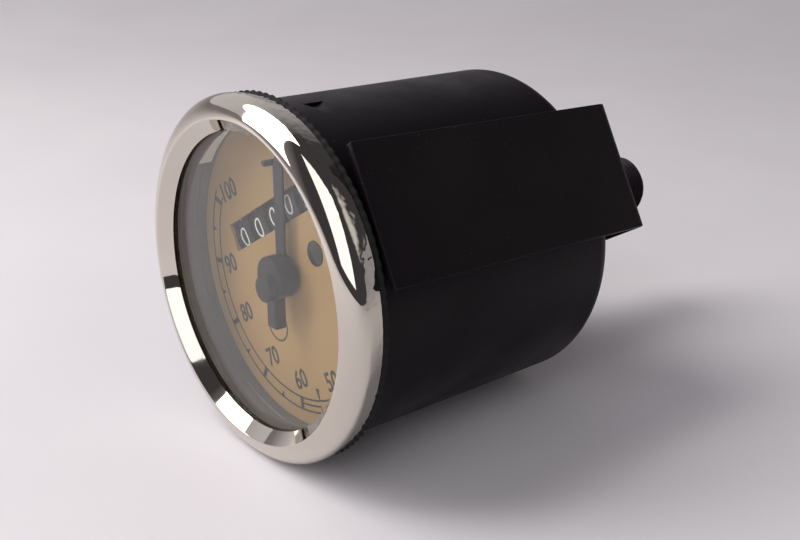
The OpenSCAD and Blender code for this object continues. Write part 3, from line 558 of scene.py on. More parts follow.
# %% Rubber
def moulded_rubber():
    """Black moulded rubber: matt, a little grey with age, with a fine grain."""
    finish, tree, at = new_finish("moulded_rubber")
    bloom = add(tree, "ShaderNodeTexNoise", {"Vector": at, "Scale": per(4), "Detail": 6.0})
    shade = add(tree, "ShaderNodeMix", {
        "Factor": bloom.outputs["Fac"], "A": colour("#0B0A0A"), "B": colour("#161515")}, data_type="RGBA")
    grain = add(tree, "ShaderNodeTexNoise", {"Vector": at, "Scale": per(0.3), "Detail": 2.0})
    bump = add(tree, "ShaderNodeBump", {
        "Height": grain.outputs["Fac"], "Strength": 0.2, "Distance": 0.0001})
    inputs = {
        "Base Color": shade.outputs["Result"], "Roughness": 0.72, "Specular IOR Level": 0.25,
        "Normal": bump.outputs["Normal"]}
    surface = add(tree, "ShaderNodeBsdfPrincipled", inputs)
    add(tree, "ShaderNodeOutputMaterial", {"Surface": surface.outputs["BSDF"]})
    return finish


rubber = moulded_rubber()
print(rubber.name, "has", len(rubber.node_tree.nodes), "nodes")

# %% Ribbed gasket and the glass's seat
GASKET_RIBS, RIB_STEPS = 104, 10
RIB_DEPTH, RIB_SHARPNESS = 0.22, 1.6
GASKET_FLAT, GASKET_BEVEL = 0.72, 0.9
SEAT_W, SEAT_DEPTH, SEAT_SLOPE, SEAT_FIT = 0.6, 0.9, 0.3, 0.02


def gasket_rim():
    """Section (share, depth) round the axis, radius = inner + share * (rim - inner), where the rim dips
    between ribs by a flattened cosine of the angle."""
    angle = np.linspace(0, 2 * np.pi, GASKET_RIBS * RIB_STEPS, endpoint=False)
    wave = np.clip(RIB_SHARPNESS * np.cos(GASKET_RIBS * angle), -1, 1)
    rim = gasket_r - RIB_DEPTH / 2 * (1 - wave)
    section = rounded([(0, gasket_front, 0), (GASKET_FLAT, gasket_front, 0.05),
                       (1, gasket_front + GASKET_BEVEL, 0.05), (1, gasket_back, 0.05), (0, gasket_back, 0)])
    radius = CRIMP_R + section[:, :1] * (rim - CRIMP_R)
    depth = section[:, 1:] + 0 * angle
    return np.stack([radius * np.cos(angle), depth, radius * np.sin(angle)], -1)


gasket_r, gasket_front, gasket_back = turned_size("panel_gasket")
seat_front, seat_back = glass_back + SEAT_FIT, glass_back + SEAT_DEPTH
seat_outside, seat_inside = RING_R - SEAT_FIT, RING_R - SEAT_W
seat_section = rounded([(seat_outside, seat_front, 0), (seat_inside, seat_front, 0.1),
                        (seat_inside, seat_back - SEAT_SLOPE, 0.2), (seat_outside, seat_back, 0)])
# A black rubber seal under the glass that is also painted shade: it darkens the band under the bezel's lip,
# where shade falls.
add_piece("seal_bead_and_painted_shade", [turned(seat_section, closed=True)], "housing", rubber)
add_piece("gasket_ribbed", [skin(gasket_rim(), wrap_rows=True)], "housing", rubber,
          ["panel_gasket"])

# %% [markdown]
# ## Can
# The can is deep-drawn steel with a flange at its mouth and a round rear edge, stoved in black enamel. A
# cylinder with a bevel would come close; a section carried round gives the wall's real thickness, the
# flange and the hole for the drive neck at once. One lug is pressed in behind the flange to hold the
# movement; it is the same grid with its radius lowered by a rule. Enamel is not one flat black: its skin
# has a fine orange peel and some dust.

# %% Stove enamel
def stove_enamel():
    """Black stove enamel, dipped and baked: deep satin black, orange peel about a millimetre across, dulled
    patches from handling, and sparse pale dust."""
    finish, tree, at = new_finish("black_stove_enamel")
    dulled = add(tree, "ShaderNodeTexNoise", {"Vector": at, "Scale": per(16), "Detail": 6.0})
    roughness = add(tree, "ShaderNodeMapRange", {
        "Value": dulled.outputs["Fac"], "From Min": 0.35, "From Max": 0.7, "To Min": 0.40, "To Max": 0.56})
    tone = add(tree, "ShaderNodeMix", {
        "Factor": dulled.outputs["Fac"], "A": colour("#0C060B"), "B": colour("#130C12")}, data_type="RGBA")
    mote = add(tree, "ShaderNodeTexNoise", {"Vector": at, "Scale": per(0.45), "Detail": 1.0})
    dust = add(tree, "ShaderNodeMapRange", {
        "Value": mote.outputs["Fac"], "From Min": 0.73, "From Max": 0.82, "To Min": 0.0, "To Max": 0.35})
    shade = add(tree, "ShaderNodeMix", {
        "Factor": dust.outputs["Result"], "A": tone.outputs["Result"], "B": colour("#6A6462")},
        data_type="RGBA")
    peel = add(tree, "ShaderNodeTexNoise", {"Vector": at, "Scale": per(1.1), "Detail": 2.0})
    bump = add(tree, "ShaderNodeBump", {"Height": peel.outputs["Fac"], "Strength": 0.2, "Distance": 0.0001})
    inputs = {
        "Base Color": shade.outputs["Result"], "Roughness": roughness.outputs["Result"],
        "Specular IOR Level": 0.15, "Normal": bump.outputs["Normal"]}
    surface = add(tree, "ShaderNodeBsdfPrincipled", inputs)
    add(tree, "ShaderNodeOutputMaterial", {"Surface": surface.outputs["BSDF"]})
    return finish


enamel = stove_enamel()
print(enamel.name, "has", len(enamel.node_tree.nodes), "nodes")

# %% Can
CAN_WALL, CAN_CORNER, CAN_STEP = 1.2, 4.5, 1.5
NECK_HOLE_R, FLANGE_T = 9.02, 0.9
LUG_AT, LUG_REACH, LUG_STEP = 54.2, 10.0, 0.08
LUG_Y, LUG_HALF, LUG_SPAN, LUG_DEPTH = 9.1, 2.5, 3.0, 0.9
WALL_FIT = 0.01


def can_wall(section):
    """The section turned about the axis, less the lug: past the lug's angle the outer radius drops at once
    by its depth, and the drop fades with the square of the way round, and with a parabola along y."""
    angle = np.union1d(np.arange(0, 360, CAN_STEP), np.linspace(LUG_AT - LUG_REACH, LUG_AT, 40))
    angle = np.union1d(angle, LUG_AT + LUG_STEP)
    radius, y = section[:, :1], section[:, 1:]
    way = np.clip((LUG_AT - angle) / LUG_REACH, 0, 1)
    along = np.clip(1 - ((y - LUG_Y) / (LUG_HALF * (1 - way / 2))) ** 2, 0, 1)
    drop = LUG_DEPTH * along * (1 - way) ** 2 * (angle <= LUG_AT)
    radius = np.where(abs(radius - case_r) < WALL_FIT, radius - drop, radius)
    angle = np.radians(angle)
    grid = [radius * np.cos(angle), y + 0 * angle, radius * np.sin(angle)]
    return skin(np.stack(grid, -1), wrap_rows=True)


inner_r, inner_back = case_r - CAN_WALL, case_back - CAN_WALL
lug_rows = [(case_r, y, 0) for y in np.linspace(LUG_Y - LUG_SPAN, LUG_Y + LUG_SPAN, 31)]
can_section = rounded([
    (can_flange_r, can_front, 0.2), (can_flange_r, can_front + FLANGE_T, 0.2),
    (case_r, can_front + FLANGE_T, 0.2), *lug_rows, (case_r, case_back, CAN_CORNER),
    (NECK_HOLE_R, case_back, 0.1), (NECK_HOLE_R, inner_back, 0.1),
    (inner_r, inner_back, CAN_CORNER - CAN_WALL), (inner_r, can_front, 0.2)], steps=16)
add_piece("can_enamelled", [can_wall(can_section)], "housing", enamel, ["case"])

# %% [markdown]
# ## Bridge clamp
# A strap of flat steel, bent twice into a U, hooks behind the panel and is drawn up by two nuts. It is a
# rectangle with eased edges carried along the U: straight legs, small bends and a straight back. The hole
# for the neck is cut afterwards, as a press would punch it, with a Boolean modifier that is applied at
# once.

# %% Bridge clamp
STRAP_T, STRAP_W = 2.0, 29.2
LEG_INSIDE = 38.3
LEG_END_Y, STRAP_BACK = 1.1, 73.2
LEG_STATIONS = np.array([0, 0.002, 0.005, 0.25, 0.5, 0.75])
BEND_IN = 0.6
EDGE_EASE, END_EASE = 0.3, np.array([0.3, 0.09])
CLAMP_HOLE_R, PUNCH_FROM, PUNCH_TO = 11.0, 60.0, 80.0
CLAMP_LEAN, CLAMP_SLACK = math.radians(1.5), 0.15


def strap_path(steps=12):
    """Middle line of the strap, left leg to right leg, as (x, y) with the outward normal at each point:
    legs along y, quarter arcs at the bends, and the back along x."""
    mid = BEND_IN + STRAP_T / 2
    bend_x, bend_y = LEG_INSIDE - BEND_IN, STRAP_BACK - STRAP_T - BEND_IN
    turn = np.linspace(0, np.pi / 2, steps)
    leg_y = LEG_END_Y + (bend_y - LEG_END_Y) * LEG_STATIONS
    leg = np.stack([np.full(len(leg_y), -bend_x - mid), leg_y], 1)
    bend = np.stack([-bend_x - mid * np.cos(turn), bend_y + mid * np.sin(turn)], 1)
    half = np.concatenate([leg, bend])
    leg_out = np.tile([-1.0, 0.0], (len(leg_y), 1))
    out = np.concatenate([leg_out, np.stack([-np.cos(turn), np.sin(turn)], 1)])
    flip = np.array([-1, 1])
    return np.concatenate([half, half[::-1] * flip]), np.concatenate([out, out[::-1] * flip])


def strap():
    """The eased rectangle (thickness, width) carried along the path; both ends shrink by the ease."""
    path, out = strap_path()
    section = rounded([(-STRAP_T / 2, -STRAP_W / 2, EDGE_EASE), (STRAP_T / 2, -STRAP_W / 2, EDGE_EASE),
                       (STRAP_T / 2, STRAP_W / 2, EDGE_EASE), (-STRAP_T / 2, STRAP_W / 2, EDGE_EASE)])
    shrink = np.zeros(len(path))
    shrink[:2], shrink[-2:] = END_EASE, END_EASE[::-1]
    across = section[:, 0] - np.sign(section[:, 0]) * shrink[:, None]
    wide = section[:, 1] - np.sign(section[:, 1]) * shrink[:, None]
    x = path[:, :1] + out[:, :1] * across
    y = path[:, 1:] + out[:, 1:] * across
    return skin(np.stack([x, y, wide], -1), capped=True)


def leant(shape):
    """The clamp as it sits before its nuts are drawn up: turned a little about x, at its back."""
    points, faces = shape
    x, y, z = points.T
    cos, sin = math.cos(CLAMP_LEAN), math.sin(CLAMP_LEAN)
    back = y - STRAP_BACK
    return np.stack([x, STRAP_BACK - CLAMP_SLACK + back * cos + z * sin, z * cos - back * sin], 1), faces


def punched(shape, cutter):
    """A shape less a cutter: both become passing objects, and the Boolean's result is read as arrays."""
    made = []
    for points, faces in (shape, cutter):
        mesh = bpy.data.meshes.new("blank")
        mesh.from_pydata(points.tolist(), [], faces)
        made.append(bpy.data.objects.new("blank", mesh))
        scene.collection.objects.link(made[-1])
    cut = made[0].modifiers.new("cut", "BOOLEAN")
    cut.object, cut.operation, cut.solver = made[1], "DIFFERENCE", "EXACT"
    result = made[0].evaluated_get(bpy.context.evaluated_depsgraph_get()).to_mesh()
    co = np.empty(len(result.vertices) * 3)
    result.vertices.foreach_get("co", co)
    faces = [list(face.vertices) for face in result.polygons]
    for blank in made:
        bpy.data.objects.remove(blank)
    return outward(co.reshape(-1, 3), faces)


punch = np.array([(0, PUNCH_FROM), (CLAMP_HOLE_R, PUNCH_FROM), (CLAMP_HOLE_R, PUNCH_TO), (0, PUNCH_TO)])
clamp = leant(punched(strap(), turned(punch, steps=96)))
add_piece("clamp_strap", [clamp], "housing", enamel, ["bracket"], crease=32)

# %% [markdown]
# ## Drive neck
# The cable screws onto the neck, so its end carries a fine thread. A spiral could be made with a Screw
# modifier; here the thread is a rule instead: along the thread the radius dips by a wave whose phase grows
# with depth and with angle, one full wave per turn. The rest of the neck is its turned profile.

# %% Drive neck and its thread
THREAD_R, THREAD_PITCH, THREAD_DEPTH, THREAD_LEN = 8.0, 1.5, 0.75, 18.0
THREAD_ROWS, LEAD_IN, RUN_OUT = 140, 0.2, 1.2
NECK_R, NECK_FLANGE_R, NECK_FLANGE_T = 9.6, 14.0, 2.6
SPIGOT_R, SWAGE_R, SWAGE_DEPTH = 9.0, 9.6, 2.0
RELIEF_R, RELIEF_LEN, SHOULDER_LEN = 7.2, 1.6, 2.4
FERRULE_R, FERRULE_DEPTH, MOUTH_BEVEL = 5.4, 12.0, 1.0
NECK_BORE_R, BORE_SHOWN = 5.0, 2.0


def threaded(profile, first, last, pitch, depth, bore_r=0, steps=96, closed=True, at=(0, 0)):
    """A turned profile whose radius dips by depth * (1 - cos phase) / 2 between two depths, where the phase
    is 2 pi * y / pitch less the angle. The dip fades over half a pitch at both ends, and the bore stays
    smooth."""
    angle = np.linspace(0, 2 * np.pi, steps, endpoint=False)
    radius, y = profile[:, :1], profile[:, 1:]
    fade = np.clip((y - first) / (pitch / 2), 0, 1) * np.clip((last - y) / (pitch / 2), 0, 1)
    dip = depth * fade * (1 - np.cos(2 * np.pi * y / pitch - angle)) / 2
    radius = np.where(radius > bore_r, radius - dip, radius)
    grid = [at[0] + radius * np.cos(angle), y + 0 * angle, at[1] + radius * np.sin(angle)]
    return skin(np.stack(grid, -1), wrap_rows=closed)


neck_end = turned_size("drive_neck")[2]
thread_start = neck_end - THREAD_LEN
neck_in, flange_back = case_back - SWAGE_DEPTH, case_back + NECK_FLANGE_T
ferrule_end = neck_end - FERRULE_DEPTH
neck_outside = rounded([
    (NECK_BORE_R, neck_in, 0), (SWAGE_R, neck_in, 0.1), (SWAGE_R, inner_back, 0), (SPIGOT_R, inner_back, 0),
    (SPIGOT_R, case_back, 0), (NECK_FLANGE_R, case_back, 0.2), (NECK_FLANGE_R, flange_back, 0.6),
    (NECK_R, flange_back, 0.8), (NECK_R, thread_start - SHOULDER_LEN, 0.4),
    (RELIEF_R, thread_start - RELIEF_LEN, 0.4), (RELIEF_R, thread_start, 0.2),
    (THREAD_R, thread_start, 0.15), (THREAD_R, thread_start + LEAD_IN, 0)], closed=False)
thread_rows = np.linspace(thread_start + LEAD_IN, neck_end - RUN_OUT, THREAD_ROWS)
neck_thread = np.stack([np.full(THREAD_ROWS, THREAD_R), thread_rows], 1)
neck_mouth = rounded([
    (THREAD_R, neck_end - MOUTH_BEVEL, 0), (THREAD_R - MOUTH_BEVEL, neck_end, 0.2),
    (FERRULE_R, neck_end, 0.3), (FERRULE_R, ferrule_end, 0.1), (NECK_BORE_R, ferrule_end, 0.1),
    (NECK_BORE_R, ferrule_end - BORE_SHOWN, 0)], closed=False)
neck_profile = np.concatenate([neck_outside, neck_thread[1:], neck_mouth])
neck = threaded(neck_profile, thread_start, neck_end - RUN_OUT / 2, THREAD_PITCH, THREAD_DEPTH,
                bore_r=(FERRULE_R + RELIEF_R) / 2)
add_piece("neck_threaded", [neck], "housing", enamel, ["drive_neck"])

# %% [markdown]
# ## Clamp hardware
# Two studs, washers and hexagon nuts pull the clamp up. A nut is a hexagon whose corners a lathe has turned
# away, so its radius is the smaller of two: the hexagon's, by angle, and the turned profile's, by depth.
# Studs use the thread's rule again. Zinc-plated steel has a cool grey gleam with turning marks, drawn
# coarse enough to show.

# %% Plated steel
RING_MARK, RING_STRETCH = 0.33, (0.08, 1.0, 0.08)


def turned_metal(name, dark, light, low_rough, high_rough):
    """Turned or pressed metal: fine rings about the axis, seen as streaks across the depth, and a soft
    tarnish. The rings are drawn at a third of a millimetre, coarser than a lathe's, so that they show."""
    finish, tree, at = new_finish(name)
    rings = add(tree, "ShaderNodeMapping", {"Vector": at, "Scale": RING_STRETCH})
    mark = add(tree, "ShaderNodeTexNoise", {
        "Vector": rings.outputs["Vector"], "Scale": per(RING_MARK), "Detail": 3.0})
    tarnish = add(tree, "ShaderNodeTexNoise", {"Vector": at, "Scale": per(5), "Detail": 4.0})
    shade = add(tree, "ShaderNodeMix", {
        "Factor": tarnish.outputs["Fac"], "A": colour(dark), "B": colour(light)}, data_type="RGBA")
    roughness = add(tree, "ShaderNodeMapRange", {
        "Value": mark.outputs["Fac"], "From Min": 0.3, "From Max": 0.7, "To Min": low_rough,
        "To Max": high_rough})
    bump = add(tree, "ShaderNodeBump", {
        "Height": mark.outputs["Fac"], "Strength": 0.1, "Distance": 0.00005})
    inputs = {
        "Base Color": shade.outputs["Result"], "Metallic": 1.0, "Roughness": roughness.outputs["Result"],
        "Normal": bump.outputs["Normal"]}
    surface = add(tree, "ShaderNodeBsdfPrincipled", inputs)
    add(tree, "ShaderNodeOutputMaterial", {"Surface": surface.outputs["BSDF"]})
    return finish


plated_steel = turned_metal("zinc_plated_steel", "#8E8F92", "#B4B5B6", 0.22, 0.42)
print(plated_steel.name, "has", len(plated_steel.node_tree.nodes), "nodes")

# %% Studs, washers and nuts
STUD_AT, STUD_R, STUD_END, STUD_POINT = 26.0, 2.5, 81.4, 0.7
STUD_HEAD_R, STUD_HEAD_H = 5.0, 1.4
STUD_PITCH, STUD_DEPTH, STUD_ROWS, STUD_LEAD = 0.8, 0.4, 90, 1.0
WASHER_R, WASHER_T = 5.25, 1.2
NUT_R, NUT_H, NUT_BEVEL = 4.625, 4.0, 0.4
HOLE_FIT, COUNTERSINK = 0.02, 0.3


def hexagon(profile, corner_r, at, steps=180):
    """A turned profile held in a hexagon: radius = min(profile, apothem / cos(angle within its side))."""
    angle = np.linspace(0, 2 * np.pi, steps, endpoint=False)
    side = np.mod(angle, np.pi / 3) - np.pi / 6
    flat = corner_r * math.cos(np.pi / 6) / np.cos(side)
    radius, depth = np.minimum(profile[:, :1], flat), profile[:, 1:] + 0 * angle
    grid = [at[0] + radius * np.cos(angle), depth, at[1] + radius * np.sin(angle)]
    return skin(np.stack(grid, -1), wrap_rows=True)


def stud(at):
    """A round bar with a flat head inside the can and a rounded end, threaded behind the clamp."""
    head = inner_back - STUD_HEAD_H
    start = np.array([(0, head), (STUD_HEAD_R, head), (STUD_HEAD_R, inner_back), (STUD_R, inner_back)])
    rows = np.linspace(STRAP_BACK - STUD_LEAD, STUD_END - STUD_PITCH, STUD_ROWS)
    bar_rows = np.stack([np.full(STUD_ROWS, STUD_R), rows], 1)
    end = rounded([(STUD_R, STUD_END - STUD_POINT, 0), (STUD_R, STUD_END, 0.6), (0, STUD_END, 0)],
                  closed=False)
    profile = np.concatenate([start, bar_rows, end])
    return threaded(profile, STRAP_BACK, STUD_END - STUD_PITCH / 2, STUD_PITCH, STUD_DEPTH, steps=48,
                    closed=False, at=at)


nut_front = STRAP_BACK + WASHER_T
nut_back = nut_front + NUT_H
chamfer = np.linspace(0, 1, 8)[:, None]
nut_flat_r = NUT_R * math.cos(math.pi / 6)
hole_r = STUD_R + HOLE_FIT
nut_profile = np.concatenate([
    [(hole_r, nut_front)],
    np.array([nut_flat_r, nut_front]) * (1 - chamfer) + np.array([NUT_R, nut_front + NUT_BEVEL]) * chamfer,
    np.array([NUT_R, nut_back - NUT_BEVEL]) * (1 - chamfer) + np.array([nut_flat_r, nut_back]) * chamfer,
    [(STUD_R + COUNTERSINK, nut_back), (hole_r, nut_back - COUNTERSINK)]])
washer_section = rounded([(hole_r, STRAP_BACK, 0.05), (WASHER_R, STRAP_BACK, 0.15),
                          (WASHER_R, nut_front, 0.4), (hole_r, nut_front, 0.05)])
sides = [(-STUD_AT, 0), (STUD_AT, 0)]
add_piece("clamp_studs", [stud(at) for at in sides], "housing", plated_steel, ["bracket_studs"])
washers = [turned(washer_section, 96, True, at) for at in sides]
add_piece("clamp_washers", washers, "housing", plated_steel, ["bracket_washers"])
add_piece("clamp_nuts", [hexagon(nut_profile, NUT_R, at) for at in sides], "housing", plated_steel,
          ["bracket_nuts"], crease=28)

# %% [markdown]
# ## Base screws
# Three cheese-head screws hold the movement's base to the can's back. Each head is a turned profile with a
# domed top, and its driver slot is punched out with the same Boolean as the clamp's hole.

# %% Slotted screws
SCREW_HEAD_R, SCREW_HEAD_H, SCREW_R = 2.8, 2.0, 1.5
SCREW_RING, SCREW_REACH, SCREW_DOME = 28.5, 6.0, 0.2
SLOT_W, SLOT_DEPTH, SLOT_REACH, SLOT_PAST = 0.7, 0.9, 4.0, 1.0
SLOT_TURN, SLOT_START = 2.2, 0.4


def slotted_screw(angle):
    """A turned head and shank less a thin box across the head, at its own turn on each screw."""
    at = (SCREW_RING * math.cos(angle), SCREW_RING * math.sin(angle))
    top = case_back + SCREW_HEAD_H
    body = turned(rounded([(0, case_back - SCREW_REACH, 0), (SCREW_R, case_back - SCREW_REACH, 0.3),
                           (SCREW_R, case_back, 0), (SCREW_HEAD_R, case_back, 0.1),
                           (SCREW_HEAD_R, top - SCREW_DOME, 0.5), (0, top, 0)], closed=False), 64, at=at)
    slot = SLOT_TURN * angle + SLOT_START
    along = np.array([math.cos(slot), math.sin(slot)])
    aside = np.array([-along[1], along[0]]) * SLOT_W / 2
    signs = np.array([(-1, -1), (1, -1), (1, 1), (-1, 1)])
    corners = at + signs[:, :1] * SLOT_REACH * along + signs[:, 1:] * aside
    depths = (top - SLOT_DEPTH, top + SLOT_PAST)
    rows = [np.stack([corners[:, 0], np.full(4, y), corners[:, 1]], 1) for y in depths]
    return punched(body, skin(np.array(rows), capped=True))


screws = [slotted_screw(math.radians(a)) for a in (90, 210, 330)]
add_piece("base_screws_slotted", screws, "housing", plated_steel, ["base_screws"], crease=30)

# %% [markdown]
# ## Dial face
# The dial is a flat stamped plate in gold lacquer, and its solid already has the right outline and
# openings, so it stays and only gets its finish. The printing is a film of black ink: every line and bar is
# the strip between two edges, given the ink's thickness so that it is a real, closed shape.

# %% Gold lacquer
def gold_lacquer():
    """Gold lacquer on a stamped plate: a warm matt tan with the fine sparkle of its powder and a slow drift
    in tone from age."""
    finish, tree, at = new_finish("gold_lacquer")
    drift = add(tree, "ShaderNodeTexNoise", {"Vector": at, "Scale": per(24), "Detail": 3.0})
    powder = add(tree, "ShaderNodeTexNoise", {"Vector": at, "Scale": per(0.35), "Detail": 2.0})
    tone = add(tree, "ShaderNodeMix", {
        "Factor": drift.outputs["Fac"], "A": colour("#AD8552"), "B": colour("#BE9562")}, data_type="RGBA")
    sparkle = add(tree, "ShaderNodeMapRange", {
        "Value": powder.outputs["Fac"], "From Min": 0.5, "From Max": 0.75, "To Min": 0.0, "To Max": 0.12})
    shade = add(tree, "ShaderNodeMix", {
        "Factor": sparkle.outputs["Result"], "A": tone.outputs["Result"], "B": colour("#E0BC84")},
        data_type="RGBA")
    roughness = add(tree, "ShaderNodeMapRange", {
        "Value": powder.outputs["Fac"], "From Min": 0.3, "From Max": 0.7, "To Min": 0.47, "To Max": 0.53})
    inputs = {
        "Base Color": shade.outputs["Result"], "Metallic": 0.15, "Roughness": roughness.outputs["Result"]}
    surface = add(tree, "ShaderNodeBsdfPrincipled", inputs)
    add(tree, "ShaderNodeOutputMaterial", {"Surface": surface.outputs["BSDF"]})
    return finish


dial_lacquer = gold_lacquer()
print(dial_lacquer.name, "has", len(dial_lacquer.node_tree.nodes), "nodes")

# %% Printing ink
DIAL_FRONT = 4.2
INK_T, INK_SUNK = 0.035, 0.02


def polar(radius, angle):
    """Points on the dial (x, z) from radius and angle in degrees, anticlockwise from the dial's right."""
    radius, angle = np.broadcast_arrays(np.asarray(radius, float), np.radians(angle))
    return np.stack([radius * np.cos(angle), radius * np.sin(angle)], -1)


def ink(left, right, closed=False):
    """A printed strip between two edge lines (n, 2): two corners in front and two sunk, along the lines."""
    def at_depth(edge, y):
        return np.stack([edge[:, 0], np.full(len(edge), y), edge[:, 1]], -1)
    front, back = DIAL_FRONT - INK_T, DIAL_FRONT + INK_SUNK
    corners = [at_depth(left, front), at_depth(right, front), at_depth(right, back), at_depth(left, back)]
    return skin(np.stack(corners, 1), wrap_rows=closed, capped=not closed)


# Black screen-printing ink: flat black, a trifle uneven where it was laid thin.
black_ink = two_tone("black_printing_ink", "#0B0A0A", "#1E1A17", {"Roughness": 0.6}, cell=1.5, detail=4.0)

# %% [markdown]
# ## Printed scale
# The scale runs clockwise from 0 beside the stop pin to 100, about 29 degrees for each ten. A thin line
# carries the ticks, and from 55 up a second line closes a band for the top range. Arcs are strips with many
# points, bars and wedges are strips with two, so one function prints them all.

# %% Scale lines and ticks
ZERO_AT, DEGREES_PER_TEN = 59.2, -28.85
BAND_FROM, BAND_MID_TO, SCALE_END = 55, 60, 101.2
LINE_R, BAND_R, BAND_MID_R = 28.7, 31.5, 30.0
LINE_W, BAR_W = 0.43, 1.15
PIN_RING_AT, PIN_RING_R = (-11.6, -9.2), 3.7
# Bars: their speeds, inner and outer radius, and the widths there.
BARS = [
    ([BAND_FROM], BAND_MID_R, BAND_R, 0.3, 0.3),
    ([BAND_FROM], 25.9, LINE_R, 1.3, 0.25),
    (range(60, 101, 10), LINE_R - 0.2, BAND_R + 0.2, BAR_W, BAR_W),
    (range(65, 100, 10), 30.2, BAND_R, 0.35, 1.1),
    (range(0, 51, 10), 26.4, LINE_R, BAR_W, BAR_W),
    (range(5, 50, 10), 27.3, LINE_R, 0.9, 0.3),
]


def scale_angle(speed):
    """Direction of a speed on the dial, in degrees."""
    return ZERO_AT + DEGREES_PER_TEN * np.asarray(speed, float) / 10


def arc_line(radius, start, end, width=LINE_W):
    """A thin printed arc at one radius between two speeds."""
    angle = scale_angle(np.linspace(start, end, int(12 + 2 * abs(end - start))))
    return ink(polar(radius - width / 2, angle), polar(radius + width / 2, angle))


def bar(speed, inner, outer, inner_w, outer_w):
    """A radial bar or wedge: its two ends are at two radii and have their own widths."""
    along = polar(1, scale_angle(speed))
    aside = np.array([-along[1], along[0]])
    ends = np.array([inner, outer])[:, None] * along
    half = np.array([inner_w, outer_w])[:, None] / 2 * aside
    return ink(ends - half, ends + half)


scale = [arc_line(LINE_R, 0, SCALE_END), arc_line(BAND_R, BAND_FROM, SCALE_END),
         arc_line(BAND_MID_R, BAND_FROM, BAND_MID_TO)]
scale += [bar(speed, *reach) for speeds, *reach in BARS for speed in speeds]
ring_turn = np.linspace(0, 360, 64, endpoint=False)
ring_edges = [polar(PIN_RING_R + side * LINE_W / 2, ring_turn) + PIN_RING_AT for side in (-1, 1)]
scale += [ink(*ring_edges, closed=True)]
add_piece("scale_print", scale, "housing", black_ink)

# %% [markdown]
# ## Numerals
# Figures are the one shape not worth a formula: Blender's own text gives clean outlines. Each number is
# made a flat mesh first, narrowed to the dial's condensed lettering, and only then set on the dial as
# arrays, so that nothing of the text object stays behind.

# %% Numerals
NUMERAL_H, NUMERAL_R = 4.4, 24.2
NUMERAL_SQUEEZE, NUMERAL_WEIGHT = 0.86, 0.018
HUNDRED_AT = (-13.6, 23.6)
NUDGE = {50: (0.5, -0.9), 60: (0.2, -0.25), 70: (1.0, -0.65), 80: (0.4, 0.1), 90: (-0.7, 0.0)}


def figures(text, height, squeeze, weight, cuts=0):
    """Points (right, up, thickness 0 to 1) and faces of a number, centred on its own box: the text curve is
    made a mesh, merged, cut across at even heights if it has to bend later, and read as arrays."""
    curve = bpy.data.curves.new("figures", "FONT")
    curve.body, curve.extrude, curve.offset, curve.resolution_u = text, 0.5, weight, 5
    holder = bpy.data.objects.new("figures", curve)
    scene.collection.objects.link(holder)
    mesh = bpy.data.meshes.new_from_object(holder.evaluated_get(bpy.context.evaluated_depsgraph_get()))
    work = bmesh.new()
    work.from_mesh(mesh)
    bmesh.ops.remove_doubles(work, verts=work.verts, dist=1e-5)
    low, high = (f(v.co.y for v in work.verts) for f in (min, max))
    for level in np.linspace(low, high, cuts + 2)[1:-1]:
        everything = list(work.verts) + list(work.edges) + list(work.faces)
        bmesh.ops.bisect_plane(work, geom=everything, plane_co=(0, level, 0), plane_no=(0, 1, 0))
    work.to_mesh(mesh)
    work.free()
    co = np.empty(len(mesh.vertices) * 3)
    mesh.vertices.foreach_get("co", co)
    faces = [list(face.vertices) for face in mesh.polygons]
    bpy.data.objects.remove(holder)
    co = co.reshape(-1, 3)
    co -= (co.max(0) + co.min(0)) / 2
    grow = height / np.ptp(co[:, 1])
    return co * (grow * squeeze, grow, 1) + (0, 0, 0.5), faces


def numeral(text, at):
    """A number flat on the dial: right and up become x and z, thickness becomes the ink's depth."""
    flat, faces = figures(text, NUMERAL_H, NUMERAL_SQUEEZE, NUMERAL_WEIGHT)
    y = DIAL_FRONT + INK_SUNK - flat[:, 2] * (INK_T + INK_SUNK)
    return outward(np.stack([flat[:, 0] + at[0], y, flat[:, 1] + at[1]], -1), faces)


numeral_at = {v: polar(NUMERAL_R, scale_angle(v)) + NUDGE.get(v, (0, 0)) for v in range(10, 91, 10)}
numeral_at[100] = HUNDRED_AT
numerals = [numeral(str(v), at) for v, at in numeral_at.items()]
add_piece("scale_numerals", numerals, "housing", black_ink)

# %% [markdown]
# ## Odometer digits
# Each drum carries the ten digits in white on black. A digit is cut across its height and then wrapped: its
# height becomes an angle on the drum. Turning the drum must count upwards, so the digits follow one another
# downwards round the rim.

# %% Drum and digit finishes
# Moulded phenolic: plain black with a faint moulding grain.
drum_black = two_tone("moulded_phenolic", "#0E0E10", "#1A1A1C", {}, cell=0.6, detail=3.0, rough=(0.4, 0.55))
# White filling paint: flat, a little grey where it is thin.
white_paint = two_tone("white_filling_paint", "#FCFDFD", "#F1F2F0", {"Roughness": 0.55}, cell=1.2,
                       detail=3.0)

# %% Digits
DRUM_R, DRUM_Y, DRUM_Z = 10.0, 15.7, 13.2
MIDDLE_DRUM, MIDDLE_X, DIGIT_PITCH = 3, -1.4, 7.3
DIGIT_H, DIGIT_WEIGHT = 4.6, -0.012
DIGIT_T, DIGIT_SUNK = 0.04, 0.02
SHOWN_DIGIT = (2, 0, 0, 0, 0)
SET_OFF = (0.3, 0.5, -0.2, -0.5, -0.7)


def wrapped_digit(shape, drum, step):
    """A flat digit on a drum's rim: angle = height / radius less a tenth of a turn per step, x stays. Each
    drum is set off a little up or down, as worn drums stand."""
    flat, faces = shape
    angle = (flat[:, 1] + SET_OFF[drum - 1]) / DRUM_R - step * 2 * np.pi / 10
    radius = DRUM_R - DIGIT_SUNK + flat[:, 2] * (DIGIT_T + DIGIT_SUNK)
    x = flat[:, 0] + MIDDLE_X + (MIDDLE_DRUM - drum) * DIGIT_PITCH
    y, z = DRUM_Y - radius * np.cos(angle), DRUM_Z + radius * np.sin(angle)
    return outward(np.stack([x, y, z], -1), faces)


